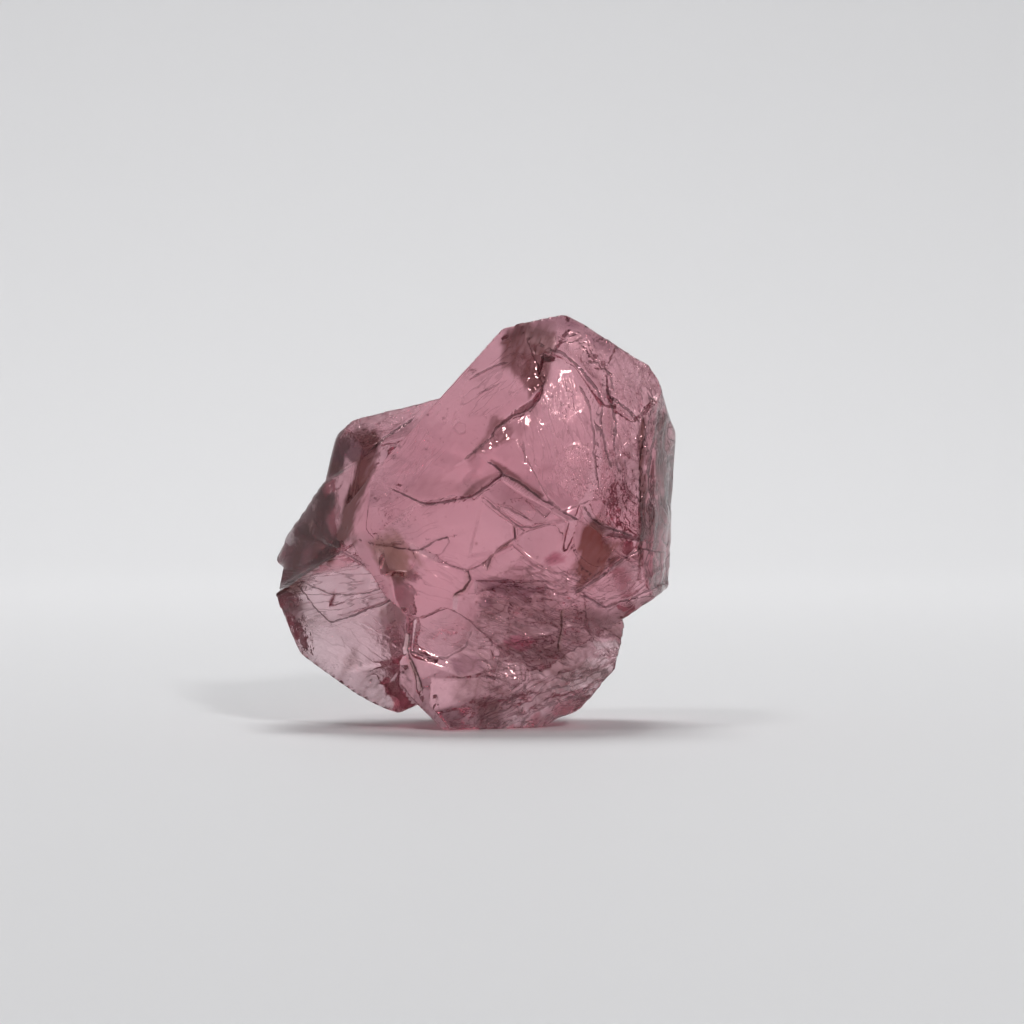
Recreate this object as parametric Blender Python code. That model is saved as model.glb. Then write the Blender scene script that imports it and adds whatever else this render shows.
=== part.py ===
"""Rough pink tourmaline: one broken fragment of a crystal, standing on its flat break.

The tables hold millimetres at natural size, +X to the right, +Y away from the viewer, +Z up. The
origin lies on the surface that the stone stands on, under about the middle of the stone.

The fragment is a union of convex blocks. Each block is cut out of a cube by flat breaks, and all
the blocks share one point deep inside the stone. Shallow flakes are then split off the outside,
which leaves the stepped ledges of the fracture.
"""
import math

import bmesh
import bpy
from mathutils import Vector

# Driving dimension: the width of the fragment in metres. The tables are drawn 25.0 across.
WIDTH = 0.025
DRAWN_WIDTH = 25.0
UNIT = WIDTH / DRAWN_WIDTH

# Working sizes in drawn units: the cube that blocks are cut from, the height of a flake's solid
# above the skin, how far neighbouring flakes overlap, and how close two corners count as one
ROUGH_CUBE = 90.0
FLAKE_REACH = 14.0
FLAKE_OVERLAP = 0.06
SAME_POINT = 1e-6
STONE_CENTRE = Vector((0.5, 0.0, 11.5))

# A break is a point on it (x, y, z), its lean away from facing the viewer and the way it leans,
# in degrees: toward 0 is right, 90 is up, 180 is left and 270 is down. A lean of 180 faces back.
BODY = {
    "central": (3.0, -7.6, 13.0, 6, 262),
    "upper": (6.0, -7.5, 16.5, 9, 40),
    "top left": (-0.3, -7.5, 16.2, 20, 140),
    "upper right": (7.0, -6.9, 20.3, 27, 52),
    "right": (8.2, -7.1, 16.5, 20, 5),
    "right flank": (10.6, -6.0, 14.5, 72, 358),
    "lower right": (8.2, -6.9, 10.2, 27, 302),
    "lower": (2.0, -7.4, 9.6, 17, 285),
    "lower left": (-1.5, -7.3, 9.0, 17, 250),
    "low front": (2.0, -6.1, 4.4, 36, 274),
    "left flank": (-6.2, -5.7, 15.7, 58, 168),
    "left low": (-5.6, -5.8, 8.6, 52, 205),
    "top left edge": (0.45, 0.0, 21.8, 93, 138),
    "top edge": (3.4, 0.0, 23.6, 95, 104),
    "upper right edge": (7.3, 0.0, 23.1, 94, 60),
    "right shoulder": (11.1, 0.0, 20.1, 92, 27),
    "right edge": (12.15, 0.0, 15.6, 92, 357),
    "low right edge": (10.2, 0.0, 7.3, 88, 303),
    "low left edge": (-2.5, 0.0, 0.9, 92, 222),
    "foot": (2.0, 0.0, 0.0, 90, 270),
    "back": (0.0, 7.6, 12.0, 174, 200),
    "back top": (3.0, 7.2, 18.5, 158, 88),
    "back right": (8.5, 6.2, 14.0, 157, 8),
    "back left": (-6.0, 6.6, 13.0, 160, 165),
    "back low": (2.0, 6.6, 5.5, 163, 272),
}
CUSHION_LUMP = {
    "cushion": (-7.6, -5.1, 8.4, 17, 195),
    "below": (-7.4, -4.9, 5.6, 27, 236),
    "tip": (-5.4, -3.6, 2.2, 32, 258),
    "inner": (-5.0, -5.6, 8.2, 26, 25),
    "top edge": (-8.7, -4.7, 10.1, 86, 124),
    "left edge": (-10.7, 0.0, 6.0, 93, 203),
    "low edge": (-8.2, 0.0, 2.75, 93, 245),
    "tip left": (-5.7, 0.0, 1.35, 92, 234),
    "tip right": (-4.0, 0.0, 1.15, 90, 297),
    "in the body, right": (3.0, 0.0, 5.0, 90, 330),
    "in the body, up": (0.0, 0.0, 13.5, 90, 90),
    "back": (-7.0, 4.6, 7.0, 160, 200),
    "back low": (-6.0, 2.6, 3.4, 168, 250),
    "back cap": (0.0, 6.4, 12.0, 178, 0),
}
FLANK_BLOCK = {
    "flank": (-6.2, -5.7, 15.7, 58, 168),
    "left edge": (-11.9, 1.5, 10.75, 97, 150),
    "upper edge": (-9.9, 0.5, 13.6, 95, 139),
    "over": (-8.6, 0.0, 15.0, 90, 118),
    "low corner": (-12.2, 1.5, 8.3, 95, 222),
    "low edge": (-9.0, 0.0, 7.2, 90, 288),
    "in the body, right": (3.0, 0.0, 10.0, 90, 0),
    "back": (-8.0, 5.8, 13.0, 156, 170),
    "back left": (-11.8, 3.6, 10.5, 122, 165),
    "back cap": (0.0, 6.6, 12.0, 178, 0),
    "in the body, front": (-3.0, -5.4, 14.0, 14, 150),
}
SHOULDER_BLOCK = {
    "flank": (-6.2, -5.4, 15.7, 58, 168),
    "left edge": (-8.5, 0.0, 16.6, 92, 165),
    "corner": (-7.7, 0.0, 18.15, 90, 130),
    "top edge": (-4.2, 0.0, 19.25, 90, 103),
    "front": (-5.4, -3.6, 18.0, 52, 112),
    "in the body, front": (-3.0, -5.6, 14.0, 14, 150),
    "in the body, below": (-9.0, 0.0, 13.0, 90, 250),
    "in the body, right": (3.0, 0.0, 10.0, 90, 0),
    "back": (-7.0, 4.6, 17.0, 150, 130),
    "back cap": (0.0, 6.6, 12.0, 178, 0),
}
LOW_LUMP = {
    "front": (6.8, -3.6, 4.0, 24, 318),
    "front cap": (5.0, -5.0, 7.0, 6, 330),
    "front low": (5.6, -3.0, 1.8, 50, 288),
    "right edge": (8.85, 0.0, 5.3, 90, 348),
    "low right edge": (7.4, 0.0, 2.15, 90, 322),
    "low edge": (5.2, 0.0, 0.45, 91, 291),
    "foot": (3.0, 0.0, 0.0, 90, 270),
    "upper right edge": (8.9, 0.0, 6.5, 90, 22),
    "low left edge": (-1.6, 0.0, 0.3, 90, 215),
    "left edge": (-2.4, 0.0, 4.0, 90, 176),
    "in the body, up": (2.0, 0.0, 14.0, 90, 90),
    "back": (6.0, 3.0, 4.0, 166, 70),
    "back cap": (0.0, 6.2, 12.0, 178, 0),
}
BLOCKS = {
    "body": BODY,
    "cushion lump": CUSHION_LUMP,
    "flank block": FLANK_BLOCK,
    "shoulder block": SHOULDER_BLOCK,
    "low lump": LOW_LUMP,
}

# Flakes split off the front: the outline of the scar as (x, z) and the break it leaves
FRONT_FLAKES = {
    "central step": (
        ((-5.2, 14.4), (-4.0, 14.0), (-3.0, 13.5), (-1.5, 13.7), (0.1, 13.9), (1.8, 15.3),
         (2.8, 14.5), (4.7, 13.4), (6.1, 12.5), (5.4, 10.6), (4.0, 9.6), (2.4, 11.0),
         (1.2, 10.4), (-0.4, 9.5), (-2.1, 10.1), (-3.9, 11.1), (-6.5, 10.9), (-6.4, 13.6)),
        (-1.0, -7.25, 13.7, 3, 262)),
    "central chip": (
        ((0.6, 13.8), (1.6, 12.9), (3.2, 11.9), (4.4, 12.3), (5.6, 12.4), (5.3, 10.8),
         (4.0, 9.8), (2.4, 11.1), (1.2, 10.6), (-0.2, 10.4)),
        (3.0, -7.1, 12.0, 4, 235)),
    "upper hollow": (
        ((4.3, 22.3), (3.9, 21.3), (4.3, 20.5), (3.6, 19.5), (1.8, 18.4), (-0.2, 16.2),
         (1.1, 15.9), (2.8, 14.5), (4.7, 13.4), (6.1, 12.6), (7.3, 14.5), (7.6, 16.8),
         (7.7, 19.2), (7.0, 20.5), (6.1, 21.7)),
        (2.6, -7.2, 19.1, 10, 40)),
    "upper right step": (
        ((4.7, 22.4), (6.1, 21.7), (7.0, 20.5), (7.9, 19.5), (8.6, 19.5), (8.2, 20.2),
         (8.0, 21.7), (7.2, 22.3), (5.6, 23.6)),
        (7.4, -5.95, 21.2, 30, 40)),
    "upper right patch": (
        ((8.0, 21.7), (8.2, 20.2), (8.7, 19.2), (9.8, 18.5), (10.7, 19.4), (11.8, 21.2),
         (9.8, 23.0), (8.6, 22.9)),
        (9.2, -5.55, 20.4, 28, 36)),
    "right ledge": (
        ((7.6, 16.8), (7.7, 19.4), (8.6, 19.2), (9.8, 18.5), (9.9, 17.6), (8.5, 16.4)),
        (8.4, -6.7, 18.3, 17, 20)),
    "right lens": (
        ((8.9, 16.1), (9.9, 15.7), (10.2, 14.4), (9.9, 13.5), (9.2, 13.7), (8.7, 14.8)),
        (9.4, -6.4, 15.0, 24, 5)),
    "stained step": (
        ((6.6, 13.5), (6.9, 12.7), (8.2, 11.7), (10.4, 11.3), (10.9, 9.3), (8.6, 10.6),
         (6.9, 9.4), (6.0, 9.1), (5.8, 10.8), (6.2, 12.3)),
        (7.4, -7.0, 11.2, 18, 352)),
    "brown wedge": (
        ((6.6, 8.2), (7.9, 7.2), (8.6, 7.5), (11.4, 8.1), (9.2, 5.0), (7.3, 5.0)),
        (7.8, -4.7, 6.8, 42, 292)),
    "violet band": (
        ((0.2, 8.9), (4.2, 8.9), (4.7, 7.8), (2.4, 7.5), (0.2, 8.0)),
        (2.4, -6.5, 8.3, 32, 268)),
    "low step left": (
        ((-1.0, 8.0), (0.2, 8.1), (2.4, 7.6), (1.9, 5.4), (1.1, 5.1), (-1.1, 7.0)),
        (0.4, -6.4, 6.9, 10, 300)),
    "low step middle": (
        ((2.4, 7.6), (4.6, 7.8), (6.8, 8.3), (6.8, 6.6), (4.4, 5.6), (1.9, 5.4)),
        (4.4, -6.1, 6.6, 24, 284)),
    "low step right": (
        ((1.8, 4.9), (4.4, 5.7), (6.8, 6.7), (6.4, 4.2), (3.6, 2.9), (1.4, 3.3)),
        (4.0, -4.9, 4.4, 36, 284)),
    "bottom patch": (
        ((-3.7, 6.4), (-2.5, 6.9), (-1.8, 7.3), (-1.1, 7.0), (1.1, 5.1), (1.2, 3.7),
         (-0.6, 3.3), (-2.6, 4.2), (-3.9, 4.8)),
        (-1.4, -5.85, 5.6, 14, 255)),
    "patch under the cushion": (
        ((-11.2, 5.7), (-9.3, 6.4), (-5.1, 7.6), (-4.2, 7.0), (-3.8, 4.2), (-5.6, 3.8),
         (-9.0, 3.3)),
        (-7.0, -4.7, 5.9, 18, 235)),
    "olive hollow": (
        ((-5.7, 11.0), (-3.9, 11.2), (-3.4, 10.2), (-4.0, 9.3), (-5.4, 9.3)),
        (-4.6, -6.7, 10.3, 18, 200)),
}

# Flakes split off the back, also as (x, z)
BACK_FLAKES = {
    "back scar high": (
        ((-3.5, 18.6), (2.0, 22.6), (5.5, 20.4), (7.4, 16.2), (3.0, 14.6), (-1.5, 15.8)),
        (2.0, 6.75, 18.4, 163, 84)),
    "back scar middle": (
        ((-4.4, 14.6), (-1.2, 15.4), (2.6, 14.2), (6.2, 12.8), (4.0, 9.2), (-1.0, 8.8),
         (-4.8, 11.0)),
        (0.6, 7.15, 12.4, 176, 30)),
    "back scar low": (
        ((-1.0, 8.2), (3.4, 8.8), (7.4, 8.0), (6.6, 4.6), (2.4, 3.2), (-1.4, 4.6)),
        (2.8, 6.2, 6.4, 160, 280)),
    "back scar left": (
        ((-10.4, 11.0), (-6.6, 13.6), (-3.2, 12.4), (-3.4, 9.0), (-8.6, 7.6)),
        (-7.2, 5.6, 10.6, 158, 190)),
    "back scar low left": (
        ((-13.5, 8.8), (-9.0, 10.6), (-6.4, 10.3), (-5.2, 8.1), (-4.7, 6.0), (-3.7, 2.0),
         (-4.0, -1.0), (-13.5, -1.0)),
        (-8.0, 2.3, 7.0, 160, 184)),
    "back scar right": (
        ((7.2, 17.6), (10.6, 16.6), (11.4, 12.4), (9.0, 9.6), (6.6, 12.8)),
        (8.8, 5.6, 13.6, 153, 356)),
}

# Flakes split off the right side and the left side: outlines as (y, z)
RIGHT_FLAKES = {
    "right groove front": (
        ((-6.6, 18.6), (-4.6, 18.9), (-4.3, 12.0), (-4.7, 8.6), (-6.6, 9.4)),
        (10.75, -5.4, 14.0, 58, 357)),
    "right groove middle": (
        ((-3.4, 19.6), (-1.6, 19.8), (-1.2, 12.6), (-1.7, 7.6), (-3.2, 8.0)),
        (11.75, -2.4, 14.0, 80, 357)),
    "right groove back": (
        ((0.6, 19.4), (3.0, 18.8), (3.2, 12.6), (2.6, 8.4), (0.4, 8.2)),
        (11.7, 1.8, 14.0, 98, 355)),
}
LEFT_FLAKES = {
    "left scar": (
        ((-2.2, 7.6), (1.2, 8.2), (2.8, 5.6), (0.8, 3.4), (-1.9, 4.2)),
        (-10.1, 0.4, 6.0, 96, 196)),
}

PINK = (0.72, 0.34, 0.42, 1.0)
TOURMALINE_IOR = 1.63
POLISH = 0.12
CLARITY = 0.9


def facing(lean, toward):
    """Unit vector of a break that leans this much from facing the viewer, this way, in degrees."""
    tilt = math.radians(lean)
    turn = math.radians(toward)
    return Vector((math.sin(tilt) * math.cos(turn), -math.cos(tilt), math.sin(tilt) * math.sin(turn)))


def new_object(name, mesh_edit):
    """Store a bmesh, scaled from drawn units to metres, as an object of the scene."""
    bmesh.ops.scale(mesh_edit, vec=(UNIT, UNIT, UNIT), verts=mesh_edit.verts)
    bmesh.ops.recalc_face_normals(mesh_edit, faces=mesh_edit.faces)
    mesh = bpy.data.meshes.new(name)
    mesh_edit.to_mesh(mesh)
    mesh_edit.free()
    stone = bpy.data.objects.new(name, mesh)
    bpy.context.scene.collection.objects.link(stone)
    return stone


def broken_block(name, breaks):
    """A cube with everything outside each of its breaks taken off."""
    block = bmesh.new()
    bmesh.ops.create_cube(block, size=ROUGH_CUBE)
    bmesh.ops.translate(block, vec=STONE_CENTRE, verts=block.verts)
    for x, y, z, lean, toward in breaks.values():
        everything = block.verts[:] + block.edges[:] + block.faces[:]
        cut = bmesh.ops.bisect_plane(block, geom=everything, dist=SAME_POINT, plane_co=(x, y, z),
                                     plane_no=facing(lean, toward), clear_outer=True)
        rim = [part for part in cut["geom_cut"] if isinstance(part, bmesh.types.BMEdge)]
        if rim:
            bmesh.ops.contextual_create(block, geom=rim)
    return new_object(name, block)


def flake(name, outline, scar, outward):
    """The solid of a flake: its outline carried along `outward`, closed below by the scar.

    The outline is grown a little about its middle, so neighbouring scars overlap and leave no
    thin wall between them.
    """
    x, y, z, lean, toward = scar
    normal = facing(lean, toward)
    point = Vector((x, y, z))
    if abs(outward.y) > 0.5:
        corners = [Vector((across, 0.0, up)) for across, up in outline]
    else:
        corners = [Vector((0.0, across, up)) for across, up in outline]
    middle = sum(corners, Vector()) / len(corners)
    solid = bmesh.new()
    inner = []
    outer = []
    for corner in corners:
        away = (corner - middle).normalized()
        grown = corner + away * FLAKE_OVERLAP
        depth = (point - grown).dot(normal) / outward.dot(normal)
        inner.append(solid.verts.new(grown + outward * depth))
        outer.append(solid.verts.new(grown + outward * FLAKE_REACH))
    solid.faces.new(inner)
    solid.faces.new(outer)
    for index, vert in enumerate(inner):
        following = (index + 1) % len(inner)
        solid.faces.new((vert, inner[following], outer[following], outer[index]))
    return new_object(name, solid)


def combine(stone, other, operation):
    """Join or cut with a live Boolean; the other solid stays as a hidden guide."""
    change = stone.modifiers.new(other.name, "BOOLEAN")
    change.object = other
    change.operation = operation
    change.solver = "EXACT"
    other.hide_render = True
    other.display_type = "WIRE"
    other.parent = stone


def tourmaline():
    """Clear pink tourmaline with a fresh, glassy break."""
    material = bpy.data.materials.new("pink tourmaline")
    material.use_nodes = True
    shader = material.node_tree.nodes["Principled BSDF"]
    shader.inputs["Base Color"].default_value = PINK
    shader.inputs["Roughness"].default_value = POLISH
    shader.inputs["Metallic"].default_value = 0.0
    shader.inputs["IOR"].default_value = TOURMALINE_IOR
    shader.inputs["Transmission Weight"].default_value = CLARITY
    return material


def clear_scene():
    """Remove whatever objects the file holds."""
    for leftover in list(bpy.data.objects):
        bpy.data.objects.remove(leftover, do_unlink=True)


def build_crystal():
    """The whole fragment: blocks joined, then the flakes split off each side."""
    names = list(BLOCKS)
    crystal = broken_block("tourmaline_crystal", BLOCKS[names[0]])
    for name in names[1:]:
        combine(crystal, broken_block(name, BLOCKS[name]), "UNION")
    sides = (
        (FRONT_FLAKES, Vector((0.0, -1.0, 0.0))),
        (BACK_FLAKES, Vector((0.0, 1.0, 0.0))),
        (RIGHT_FLAKES, Vector((1.0, 0.0, 0.0))),
        (LEFT_FLAKES, Vector((-1.0, 0.0, 0.0))),
    )
    for flakes, outward in sides:
        for name, (outline, scar) in flakes.items():
            combine(crystal, flake(name, outline, scar, outward), "DIFFERENCE")
    crystal.data.materials.append(tourmaline())
    return crystal


def main():
    """Build the fragment in an empty scene."""
    clear_scene()
    build_crystal()


if __name__ == "__main__":
    main()
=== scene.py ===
"""Rough pink tourmaline: a clear, broken crystal standing on a pale studio floor.

Lengths in the tables are millimetres: +X right, +Y away from the viewer, +Z up from the floor.
"""
import math

import bpy
import numpy as np
from bpy.props import FloatProperty, FloatVectorProperty, IntProperty, PointerProperty
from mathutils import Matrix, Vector


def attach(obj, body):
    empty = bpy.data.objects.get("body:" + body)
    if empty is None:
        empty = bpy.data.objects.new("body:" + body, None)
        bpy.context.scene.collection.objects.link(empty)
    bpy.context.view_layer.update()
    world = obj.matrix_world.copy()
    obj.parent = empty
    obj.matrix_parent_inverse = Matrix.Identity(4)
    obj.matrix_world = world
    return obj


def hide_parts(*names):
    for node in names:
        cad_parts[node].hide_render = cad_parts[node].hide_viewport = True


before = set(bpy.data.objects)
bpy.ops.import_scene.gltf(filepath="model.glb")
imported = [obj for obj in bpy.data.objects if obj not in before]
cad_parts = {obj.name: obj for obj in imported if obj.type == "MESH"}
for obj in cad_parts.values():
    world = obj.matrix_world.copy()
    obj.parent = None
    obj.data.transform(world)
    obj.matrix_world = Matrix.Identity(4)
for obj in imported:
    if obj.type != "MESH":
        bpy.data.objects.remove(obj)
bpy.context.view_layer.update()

bl_info = {
    "name": "Rough Tourmaline",
    "version": (1, 0, 0),
    "blender": (4, 5, 0),
    "location": "View3D > Sidebar > Tourmaline",
    "description": "Builds a rough pink tourmaline crystal and a pale studio for it",
    "category": "Add Mesh",
}

MM = 0.001
NODE = "tourmaline_crystal"
STONE_CENTRE = np.array((0.5, 0.0, 11.5))
# Half the box whose grid the crystal's mesh is drawn out from: across, deep and up
HALF_BOX = np.array((12.6, 7.8, 12.4))
# How far behind the front's rim the small cells go, as a share of the box's half depth
FINE_SHARE = 0.55
# The camera's place right and up, and how far the front surface stands before the middle
EYE = np.array((2.3, 12.97))
FRONT_DEPTH = 7.0
# How deep the smallest pits of the front are
PIT_DEPTH = 0.05
# Width of the border over which a patch's relief and frosting fade in
PATCH_BORDER = 0.5
# Cells after which the random lattices repeat, and a distance greater than any on the stone
WAVE_CELLS = 32
FACET_CELLS = 24
FAR = 1e9

# A break is a point on it (x, y, z), its lean away from facing the viewer and the way it leans,
# in degrees: toward 0 is right, 90 is up, 180 is left and 270 is down. A lean of 180 faces back.
BODY = {
    "central": (3.0, -7.6, 13.0, 6, 262),
    "upper": (6.0, -7.5, 16.5, 9, 40),
    "top left": (-0.3, -7.5, 16.2, 20, 140),
    "upper right": (7.0, -6.9, 20.3, 27, 52),
    "right": (8.2, -7.1, 16.5, 20, 5),
    "right flank": (10.6, -6.0, 14.5, 72, 358),
    "lower right": (8.2, -6.9, 10.2, 27, 302),
    "lower": (2.0, -7.4, 9.6, 17, 285),
    "lower left": (-1.5, -7.3, 9.0, 17, 250),
    "low front": (2.0, -6.1, 4.4, 36, 274),
    "left flank": (-6.2, -5.7, 15.7, 58, 168),
    "left low": (-5.6, -5.8, 8.6, 52, 205),
    "top left edge": (0.45, 0.0, 21.8, 93, 138),
    "top edge": (3.4, 0.0, 23.6, 95, 104),
    "upper right edge": (7.3, 0.0, 23.1, 94, 60),
    "right shoulder": (11.1, 0.0, 20.1, 92, 27),
    "right edge": (12.15, 0.0, 15.6, 92, 357),
    "low right edge": (10.2, 0.0, 7.3, 88, 303),
    "low left edge": (-2.5, 0.0, 0.9, 92, 222),
    "foot": (2.0, 0.0, 0.0, 90, 270),
    "back": (0.0, 7.6, 12.0, 174, 200),
    "back top": (3.0, 7.2, 18.5, 158, 88),
    "back right": (8.5, 6.2, 14.0, 157, 8),
    "back left": (-6.0, 6.6, 13.0, 160, 165),
    "back low": (2.0, 6.6, 5.5, 163, 272),
}
CUSHION_LUMP = {
    "cushion": (-7.6, -5.1, 8.4, 17, 195),
    "below": (-7.4, -4.9, 5.6, 27, 236),
    "tip": (-5.4, -3.6, 2.2, 32, 258),
    "inner": (-5.0, -5.6, 8.2, 26, 25),
    "top edge": (-8.7, -4.7, 10.1, 86, 124),
    "left edge": (-10.7, 0.0, 6.0, 93, 203),
    "low edge": (-8.2, 0.0, 2.75, 93, 245),
    "tip left": (-5.7, 0.0, 1.35, 92, 234),
    "tip right": (-4.0, 0.0, 1.15, 90, 297),
    "in the body, right": (3.0, 0.0, 5.0, 90, 330),
    "in the body, up": (0.0, 0.0, 13.5, 90, 90),
    "back": (-7.0, 4.6, 7.0, 160, 200),
    "back low": (-6.0, 2.6, 3.4, 168, 250),
    "back cap": (0.0, 6.4, 12.0, 178, 0),
}
FLANK_BLOCK = {
    "flank": (-6.2, -5.7, 15.7, 58, 168),
    "left edge": (-11.9, 1.5, 10.75, 97, 150),
    "upper edge": (-9.9, 0.5, 13.6, 95, 139),
    "over": (-8.6, 0.0, 15.0, 90, 118),
    "low corner": (-12.2, 1.5, 8.3, 95, 222),
    "low edge": (-9.0, 0.0, 7.2, 90, 288),
    "in the body, right": (3.0, 0.0, 10.0, 90, 0),
    "back": (-8.0, 5.8, 13.0, 156, 170),
    "back left": (-11.8, 3.6, 10.5, 122, 165),
    "back cap": (0.0, 6.6, 12.0, 178, 0),
    "in the body, front": (-3.0, -5.4, 14.0, 14, 150),
}
SHOULDER_BLOCK = {
    "flank": (-6.2, -5.4, 15.7, 58, 168),
    "left edge": (-8.5, 0.0, 16.6, 92, 165),
    "corner": (-7.7, 0.0, 18.15, 90, 130),
    "top edge": (-4.2, 0.0, 19.25, 90, 103),
    "front": (-5.4, -3.6, 18.0, 52, 112),
    "in the body, front": (-3.0, -5.6, 14.0, 14, 150),
    "in the body, below": (-9.0, 0.0, 13.0, 90, 250),
    "in the body, right": (3.0, 0.0, 10.0, 90, 0),
    "back": (-7.0, 4.6, 17.0, 150, 130),
    "back cap": (0.0, 6.6, 12.0, 178, 0),
}
LOW_LUMP = {
    "front": (6.8, -3.6, 4.0, 24, 318),
    "front cap": (5.0, -5.0, 7.0, 6, 330),
    "front low": (5.6, -3.0, 1.8, 50, 288),
    "right edge": (8.85, 0.0, 5.3, 90, 348),
    "low right edge": (7.4, 0.0, 2.15, 90, 322),
    "low edge": (5.2, 0.0, 0.45, 91, 291),
    "foot": (3.0, 0.0, 0.0, 90, 270),
    "upper right edge": (8.9, 0.0, 6.5, 90, 22),
    "low left edge": (-1.6, 0.0, 0.3, 90, 215),
    "left edge": (-2.4, 0.0, 4.0, 90, 176),
    "in the body, up": (2.0, 0.0, 14.0, 90, 90),
    "back": (6.0, 3.0, 4.0, 166, 70),
    "back cap": (0.0, 6.2, 12.0, 178, 0),
}
BLOCKS = (BODY, CUSHION_LUMP, FLANK_BLOCK, SHOULDER_BLOCK, LOW_LUMP)

# Flakes split off the front: the outline of the scar as (x, z) and the break it leaves
FRONT_FLAKES = {
    "central step": (((-5.2, 14.4), (-4.0, 14.0), (-3.0, 13.5), (-1.5, 13.7), (0.1, 13.9),
        (1.8, 15.3), (2.8, 14.5), (4.7, 13.4), (6.1, 12.5), (5.4, 10.6), (4.0, 9.6), (2.4, 11.0),
        (1.2, 10.4), (-0.4, 9.5), (-2.1, 10.1), (-3.9, 11.1), (-6.5, 10.9), (-6.4, 13.6)),
        (-1.0, -7.25, 13.7, 3, 262)),
    "central chip": (((0.6, 13.8), (1.6, 12.9), (3.2, 11.9), (4.4, 12.3), (5.6, 12.4), (5.3, 10.8),
        (4.0, 9.8), (2.4, 11.1), (1.2, 10.6), (-0.2, 10.4)), (3.0, -7.1, 12.0, 4, 235)),
    "upper hollow": (((4.3, 22.3), (3.9, 21.3), (4.3, 20.5), (3.6, 19.5), (1.8, 18.4),
        (-0.2, 16.2), (1.1, 15.9), (2.8, 14.5), (4.7, 13.4), (6.1, 12.6), (7.3, 14.5), (7.6, 16.8),
        (7.7, 19.2), (7.0, 20.5), (6.1, 21.7)), (2.6, -7.2, 19.1, 10, 40)),
    "upper right step": (((4.7, 22.4), (6.1, 21.7), (7.0, 20.5), (7.9, 19.5), (8.6, 19.5),
        (8.2, 20.2), (8.0, 21.7), (7.2, 22.3), (5.6, 23.6)), (7.4, -5.95, 21.2, 30, 40)),
    "upper right patch": (((8.0, 21.7), (8.2, 20.2), (8.7, 19.2), (9.8, 18.5), (10.7, 19.4),
        (11.8, 21.2), (9.8, 23.0), (8.6, 22.9)), (9.2, -5.55, 20.4, 28, 36)),
    "right ledge": (((7.6, 16.8), (7.7, 19.4), (8.6, 19.2), (9.8, 18.5), (9.9, 17.6), (8.5, 16.4)),
        (8.4, -6.7, 18.3, 17, 20)),
    "right lens": (((8.9, 16.1), (9.9, 15.7), (10.2, 14.4), (9.9, 13.5), (9.2, 13.7), (8.7, 14.8)),
        (9.4, -6.4, 15.0, 24, 5)),
    "stained step": (((6.6, 13.5), (6.9, 12.7), (8.2, 11.7), (10.4, 11.3), (10.9, 9.3),
        (8.6, 10.6), (6.9, 9.4), (6.0, 9.1), (5.8, 10.8), (6.2, 12.3)),
        (7.4, -7.0, 11.2, 18, 352)),
    "brown wedge": (((6.6, 8.2), (7.9, 7.2), (8.6, 7.5), (11.4, 8.1), (9.2, 5.0), (7.3, 5.0)),
        (7.8, -4.7, 6.8, 42, 292)),
    "violet band": (((0.2, 8.9), (4.2, 8.9), (4.7, 7.8), (2.4, 7.5), (0.2, 8.0)),
        (2.4, -6.5, 8.3, 32, 268)),
    "low step left": (((-1.0, 8.0), (0.2, 8.1), (2.4, 7.6), (1.9, 5.4), (1.1, 5.1), (-1.1, 7.0)),
        (0.4, -6.4, 6.9, 10, 300)),
    "low step middle": (((2.4, 7.6), (4.6, 7.8), (6.8, 8.3), (6.8, 6.6), (4.4, 5.6), (1.9, 5.4)),
        (4.4, -6.1, 6.6, 24, 284)),
    "low step right": (((1.8, 4.9), (4.4, 5.7), (6.8, 6.7), (6.4, 4.2), (3.6, 2.9), (1.4, 3.3)),
        (4.0, -4.9, 4.4, 36, 284)),
    "bottom patch": (((-3.7, 6.4), (-2.5, 6.9), (-1.8, 7.3), (-1.1, 7.0), (1.1, 5.1), (1.2, 3.7),
        (-0.6, 3.3), (-2.6, 4.2), (-3.9, 4.8)), (-1.4, -5.85, 5.6, 14, 255)),
    "patch under the cushion": (((-11.2, 5.7), (-9.3, 6.4), (-5.1, 7.6), (-4.2, 7.0), (-3.8, 4.2),
        (-5.6, 3.8), (-9.0, 3.3)), (-7.0, -4.7, 5.9, 18, 235)),
    "olive hollow": (((-5.7, 11.0), (-3.9, 11.2), (-3.4, 10.2), (-4.0, 9.3), (-5.4, 9.3)),
        (-4.6, -6.7, 10.3, 18, 200)),
}

# Flakes split off the back, also as (x, z)
BACK_FLAKES = {
    "back scar high": (((-3.5, 18.6), (2.0, 22.6), (5.5, 20.4), (7.4, 16.2), (3.0, 14.6),
        (-1.5, 15.8)), (2.0, 6.75, 18.4, 163, 84)),
    "back scar middle": (((-4.4, 14.6), (-1.2, 15.4), (2.6, 14.2), (6.2, 12.8), (4.0, 9.2),
        (-1.0, 8.8), (-4.8, 11.0)), (0.6, 7.15, 12.4, 176, 30)),
    "back scar low": (((-1.0, 8.2), (3.4, 8.8), (7.4, 8.0), (6.6, 4.6), (2.4, 3.2), (-1.4, 4.6)),
        (2.8, 6.2, 6.4, 160, 280)),
    "back scar left": (((-10.4, 11.0), (-6.6, 13.6), (-3.2, 12.4), (-3.4, 9.0), (-8.6, 7.6)),
        (-7.2, 5.6, 10.6, 158, 190)),
    "back scar low left": (((-13.5, 8.8), (-9.0, 10.6), (-6.4, 10.3), (-5.2, 8.1), (-4.7, 6.0),
        (-3.7, 2.0), (-4.0, -1.0), (-13.5, -1.0)), (-8.0, 2.3, 7.0, 160, 184)),
    "back scar right": (((7.2, 17.6), (10.6, 16.6), (11.4, 12.4), (9.0, 9.6), (6.6, 12.8)),
        (8.8, 5.6, 13.6, 153, 356)),
}

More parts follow.
